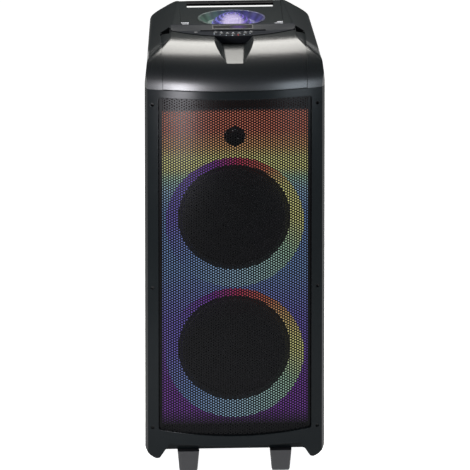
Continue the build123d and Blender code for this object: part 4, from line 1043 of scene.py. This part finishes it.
@dataclass
class Top:
    """Moulded top housing and the carrying bar."""

    nodes: dict

    def build(self) -> None:
        """Build and dress the top."""
        body = GlossyBrow("housing_plastic")
        smooth_copy(self.nodes["top_housing"], "top_cover", body.make(), CABINET)
        grip = Moulded("grip_plastic", (0.003, 0.003, 0.0035), 0.45, 0.00004, 1200.0, 0.001, specular=0.06)
        smooth_copy(self.nodes["handle_grip"], "carrying_bar", grip.make(), CABINET)


# ---- cabinet, back and wheels --------------------------------------------------------------------
@dataclass
class Cabinet:
    """Shell, back panel with its sockets, and the feet."""

    nodes: dict

    def build(self) -> None:
        """Build and dress the cabinet."""
        shell = Moulded("cabinet_texture", (0.016, 0.016, 0.017), 0.5, 0.00018, 420.0, 0.002)
        panel = Moulded("panel_texture", (0.014, 0.014, 0.015), 0.42, 0.00012, 600.0, 0.001)
        port = Moulded("port_plastic", (0.011, 0.011, 0.012), 0.28, 0.00002, 1500.0, 0.001)
        socket = Moulded("socket_plastic", (0.02, 0.02, 0.021), 0.3, 0.00001, 1500.0, 0.0005)
        ring = Moulded("jack_nickel", (0.5, 0.5, 0.52), 0.22, 0.00001, 1500.0, 0.0004, 1.0)
        feet = Moulded("foot_plastic", (0.012, 0.012, 0.013), 0.42, 0.00008, 700.0, 0.0015)
        pads = Moulded("pad_rubber_finish", (0.05, 0.05, 0.052), 0.8, 0.0001, 900.0, 0.001)
        rocker = Moulded("rocker_plastic", (0.35, 0.01, 0.008), 0.3, 0.0, 1500.0, 0.0006)
        for name, new, finish, slot in (
            ("cabinet_shell", "cabinet_skin", shell, "cabinet_black"),
            ("rear_panel", "back_plate", panel, "cabinet_black"),
            ("port_tube", "bass_port", port, "housing_black"),
            ("audio_jacks", "jack_sockets", ring, "socket_black"),
            ("usb_socket", "usb_shell", ring, "socket_black"),
            ("power_inlet", "mains_socket", socket, "socket_black"),
            ("rocker_frame", "rocker_bezel", socket, "socket_black"),
            ("front_feet", "front_legs", feet, "housing_black"),
            ("foot_pads", "leg_pads", pads, "pad_rubber"),
        ):
            smooth_copy(self.nodes[name], new, finish.make(), CABINET)
        smooth_copy(self.nodes["power_rocker"], "rocker_cap", rocker.make(), "power_rocker")
        dress(self.nodes["amp_board"], Moulded("amp_lacquer", (0.01, 0.09, 0.03), 0.4).make())
        dress(self.nodes["battery_pack"], Moulded("battery_case", (0.02, 0.02, 0.022), 0.45).make())


@dataclass
class Wheel:
    """One rear wheel: a treaded tyre on a rim."""

    nodes: dict
    side: str
    blocks: int = 48
    groove: float = 0.0011
    profile_steps: int = 9
    crown: float = 0.005
    seat: float = 0.010
    smooth_middle: float = 0.35

    def build(self) -> None:
        """Build the tyre and dress the rim."""
        body = f"{self.side}_wheel"
        rim = Moulded(f"{self.side}_rim_plastic", (0.05, 0.051, 0.053), 0.35, 0.00003, 1200.0, 0.001)
        smooth_copy(self.nodes[f"{self.side}_rim"], f"{self.side}_wheel_rim", rim.make(), body)
        self.tyre(body)

    def tyre(self, body: str) -> None:
        """Build the tyre.

        The section is a flat seat joined to a tread whose radius falls off with the fourth power of the
        distance from the middle; grooves lower every second line across the tread's outer part.

        Args:
            body: body that carries it.
        """
        low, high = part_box(f"{self.side}_tyre")
        half = (high.x - low.x) / 2
        centre = ((low.x + high.x) / 2, (low.y + high.y) / 2, (low.z + high.z) / 2)
        radius = (high.z - low.z) / 2
        across = np.linspace(-1, 1, 2 * self.profile_steps + 1)
        tread = np.stack([radius - self.crown * np.abs(across) ** 4, across * half], 1)
        inner = radius - self.seat
        seat = np.array([(inner, half), (inner, -half)])
        points = spun(np.concatenate([tread, seat]), centre, "x", self.blocks * 2)
        outer = np.abs(across) > self.smooth_middle
        lowered = (np.arange(self.blocks * 2) % 2 == 1)[:, None] & outer[None, :]
        offset = points[:, : len(across), 1:] - np.array(centre[1:])
        size = np.linalg.norm(offset, axis=2, keepdims=True)
        points[:, : len(across), 1:] -= offset / size * (lowered[..., None] * self.groove)
        finish = Moulded(f"{self.side}_tyre_rubber", (0.015, 0.015, 0.015), 0.75, 0.0001, 900.0, 0.0005)
        rubber = finish.make()
        faces = grid_faces(self.blocks * 2, len(across) + 2, True, True)
        made = piece(f"{self.side}_tyre_tread", points.reshape(-1, 3), faces, rubber, body, 40.0)
        outward(made)
        dress(self.nodes[f"{self.side}_tyre"], rubber)
        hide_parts(f"{self.side}_tyre")


@dataclass
class RunningGear:
    """Both wheels with their axle and brackets."""

    nodes: dict

    def build(self) -> None:
        """Build and dress the wheels, axle and brackets."""
        for side in ("left", "right"):
            Wheel(self.nodes, side).build()
        steel = Moulded("axle_steel_finish", (0.55, 0.55, 0.56), 0.28, 0.00002, 1500.0, 0.0008, 1.0)
        smooth_copy(self.nodes["wheel_axle"], "axle_rod", steel.make(), CABINET)
        bracket = Moulded("bracket_plastic", (0.015, 0.015, 0.016), 0.4)
        dress(self.nodes["wheel_brackets"], bracket.make())


# ---- studio --------------------------------------------------------------------------------------
@dataclass(frozen=True)
class Softbox:
    """One rectangular light."""

    name: str
    place: Place
    aim: Place
    width: float
    height: float
    power: float
    colour: Colour

    def build(self) -> None:
        """Hang the light and turn it towards its aim."""
        lamp = bpy.data.lights.new(self.name, "AREA")
        lamp.shape, lamp.size, lamp.size_y = "RECTANGLE", self.width, self.height
        lamp.energy, lamp.color = self.power, self.colour
        made = bpy.data.objects.new(self.name, lamp)
        made.location = self.place
        made.rotation_euler = (Vector(self.aim) - Vector(self.place)).to_track_quat("-Z", "Y").to_euler()
        bpy.context.scene.collection.objects.link(made)


@dataclass
class Studio:
    """Pale floor, soft lights and the camera."""

    elevation: float = 21.0
    turn: float = 2.3
    distance: float = 40.0
    frame_width: float = 0.9476
    sensor: float = 36.0
    aim: Place = (0.0, -0.144, 0.519)
    ambient: float = 0.03
    floor_reach: float = 30.0
    floor_flat: float = 6.0
    floor_dish: float = 1e-7
    floor_lines: int = 41
    softboxes: tuple[Softbox, ...] = (
        Softbox("overhead", (0.0, 0.15, 1.55), (0.0, 0.10, 0.9), 0.80, 0.70, 22.0, (1.0, 0.98, 0.93)),
        Softbox("left_strip", (-0.41, -1.1, 0.60), (-0.11, -0.16, 0.6), 0.18, 0.46, 11.5, (0.95, 0.94, 1.0)),
        Softbox("right_glow", (0.62, -1.25, 0.60), (0.12, -0.16, 0.75), 0.3, 0.46, 4.0, (0.8, 0.9, 1.0)),
        Softbox("left_side", (-1.6, -0.35, 1.0), (0.0, 0.0, 0.8), 0.3, 1.1, 3.5, (0.9, 0.96, 1.0)),
        Softbox("right_side", (1.6, -0.35, 1.0), (0.0, 0.0, 0.8), 0.3, 1.1, 5.0, (0.95, 0.97, 1.0)),
    )

    def build(self) -> None:
        """Build the floor, world, lights and camera."""
        self.floor()
        world = bpy.data.worlds.new("studio")
        world.use_nodes = True
        background = world.node_tree.nodes["Background"]
        background.inputs["Color"].default_value = (1.0, 1.0, 1.0, 1.0)
        background.inputs["Strength"].default_value = self.ambient
        bpy.context.scene.world = world
        for softbox in self.softboxes:
            softbox.build()
        self.camera()

    def floor(self) -> None:
        """Wide floor, level in the middle, then rising with the fourth power of the distance."""
        line = np.linspace(-self.floor_reach, self.floor_reach, self.floor_lines)
        x, y = np.meshgrid(line, line, indexing="ij")
        z = self.floor_dish * np.maximum(np.hypot(x, y) - self.floor_flat, 0) ** 4
        mesh = bpy.data.meshes.new("floor")
        points = np.stack([x, y, z], 2).reshape(-1, 3)
        faces = grid_faces(self.floor_lines, self.floor_lines)[:, ::-1]
        mesh.from_pydata(points.tolist(), [], faces.tolist())
        mesh.shade_smooth()
        shader = Shader("floor_paper")
        _, y, _ = shader.axes()
        tone = shader.mix(shader.noise(0.7), (0.86, 0.86, 0.86), (0.9, 0.9, 0.9))
        # painted light: the floor glows near white behind the speaker and is dimmed to about a third in front
        # of it, where the speaker's front faces reflect it
        shine = shader.mix(y.step(-0.30, -0.115), (0.30, 0.31, 0.33), (0.97, 0.97, 0.97))
        shader.dress(Base_Color=tone, Roughness=0.9, Emission_Color=shine, Emission_Strength=1.0)
        mesh.materials.append(shader.material)
        made = bpy.data.objects.new("floor", mesh)
        bpy.context.scene.collection.objects.link(made)

    def camera(self) -> None:
        """Long lens, looking down from slightly left of the middle."""
        data = bpy.data.cameras.new("camera")
        data.sensor_width = self.sensor
        data.lens = self.sensor * self.distance / self.frame_width
        data.clip_end = 200.0
        made = bpy.data.objects.new("camera", data)
        rise, turn = radians(self.elevation), radians(self.turn)
        away = Vector((-sin(turn) * cos(rise), -cos(turn) * cos(rise), sin(rise)))
        made.location = Vector(self.aim) + away * self.distance
        made.rotation_euler = (-away).to_track_quat("-Z", "Y").to_euler()
        bpy.context.scene.collection.objects.link(made)
        bpy.context.scene.camera = made


def main() -> None:
    """Build every sub-assembly in order."""
    logging.basicConfig(level=logging.INFO, format="%(message)s")
    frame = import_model()
    nodes = frame["nodes"]
    Studio().build()
    bpy.context.scene.view_settings.view_transform = "Standard"
    Grille(nodes).build()
    Front(nodes).build()
    for position in Position:
        Woofer(nodes, position).build()
    Dome(nodes).build()
    Console(nodes).build()
    Top(nodes).build()
    Cabinet(nodes).build()
    RunningGear(nodes).build()


if __name__ == "__main__":
    main()
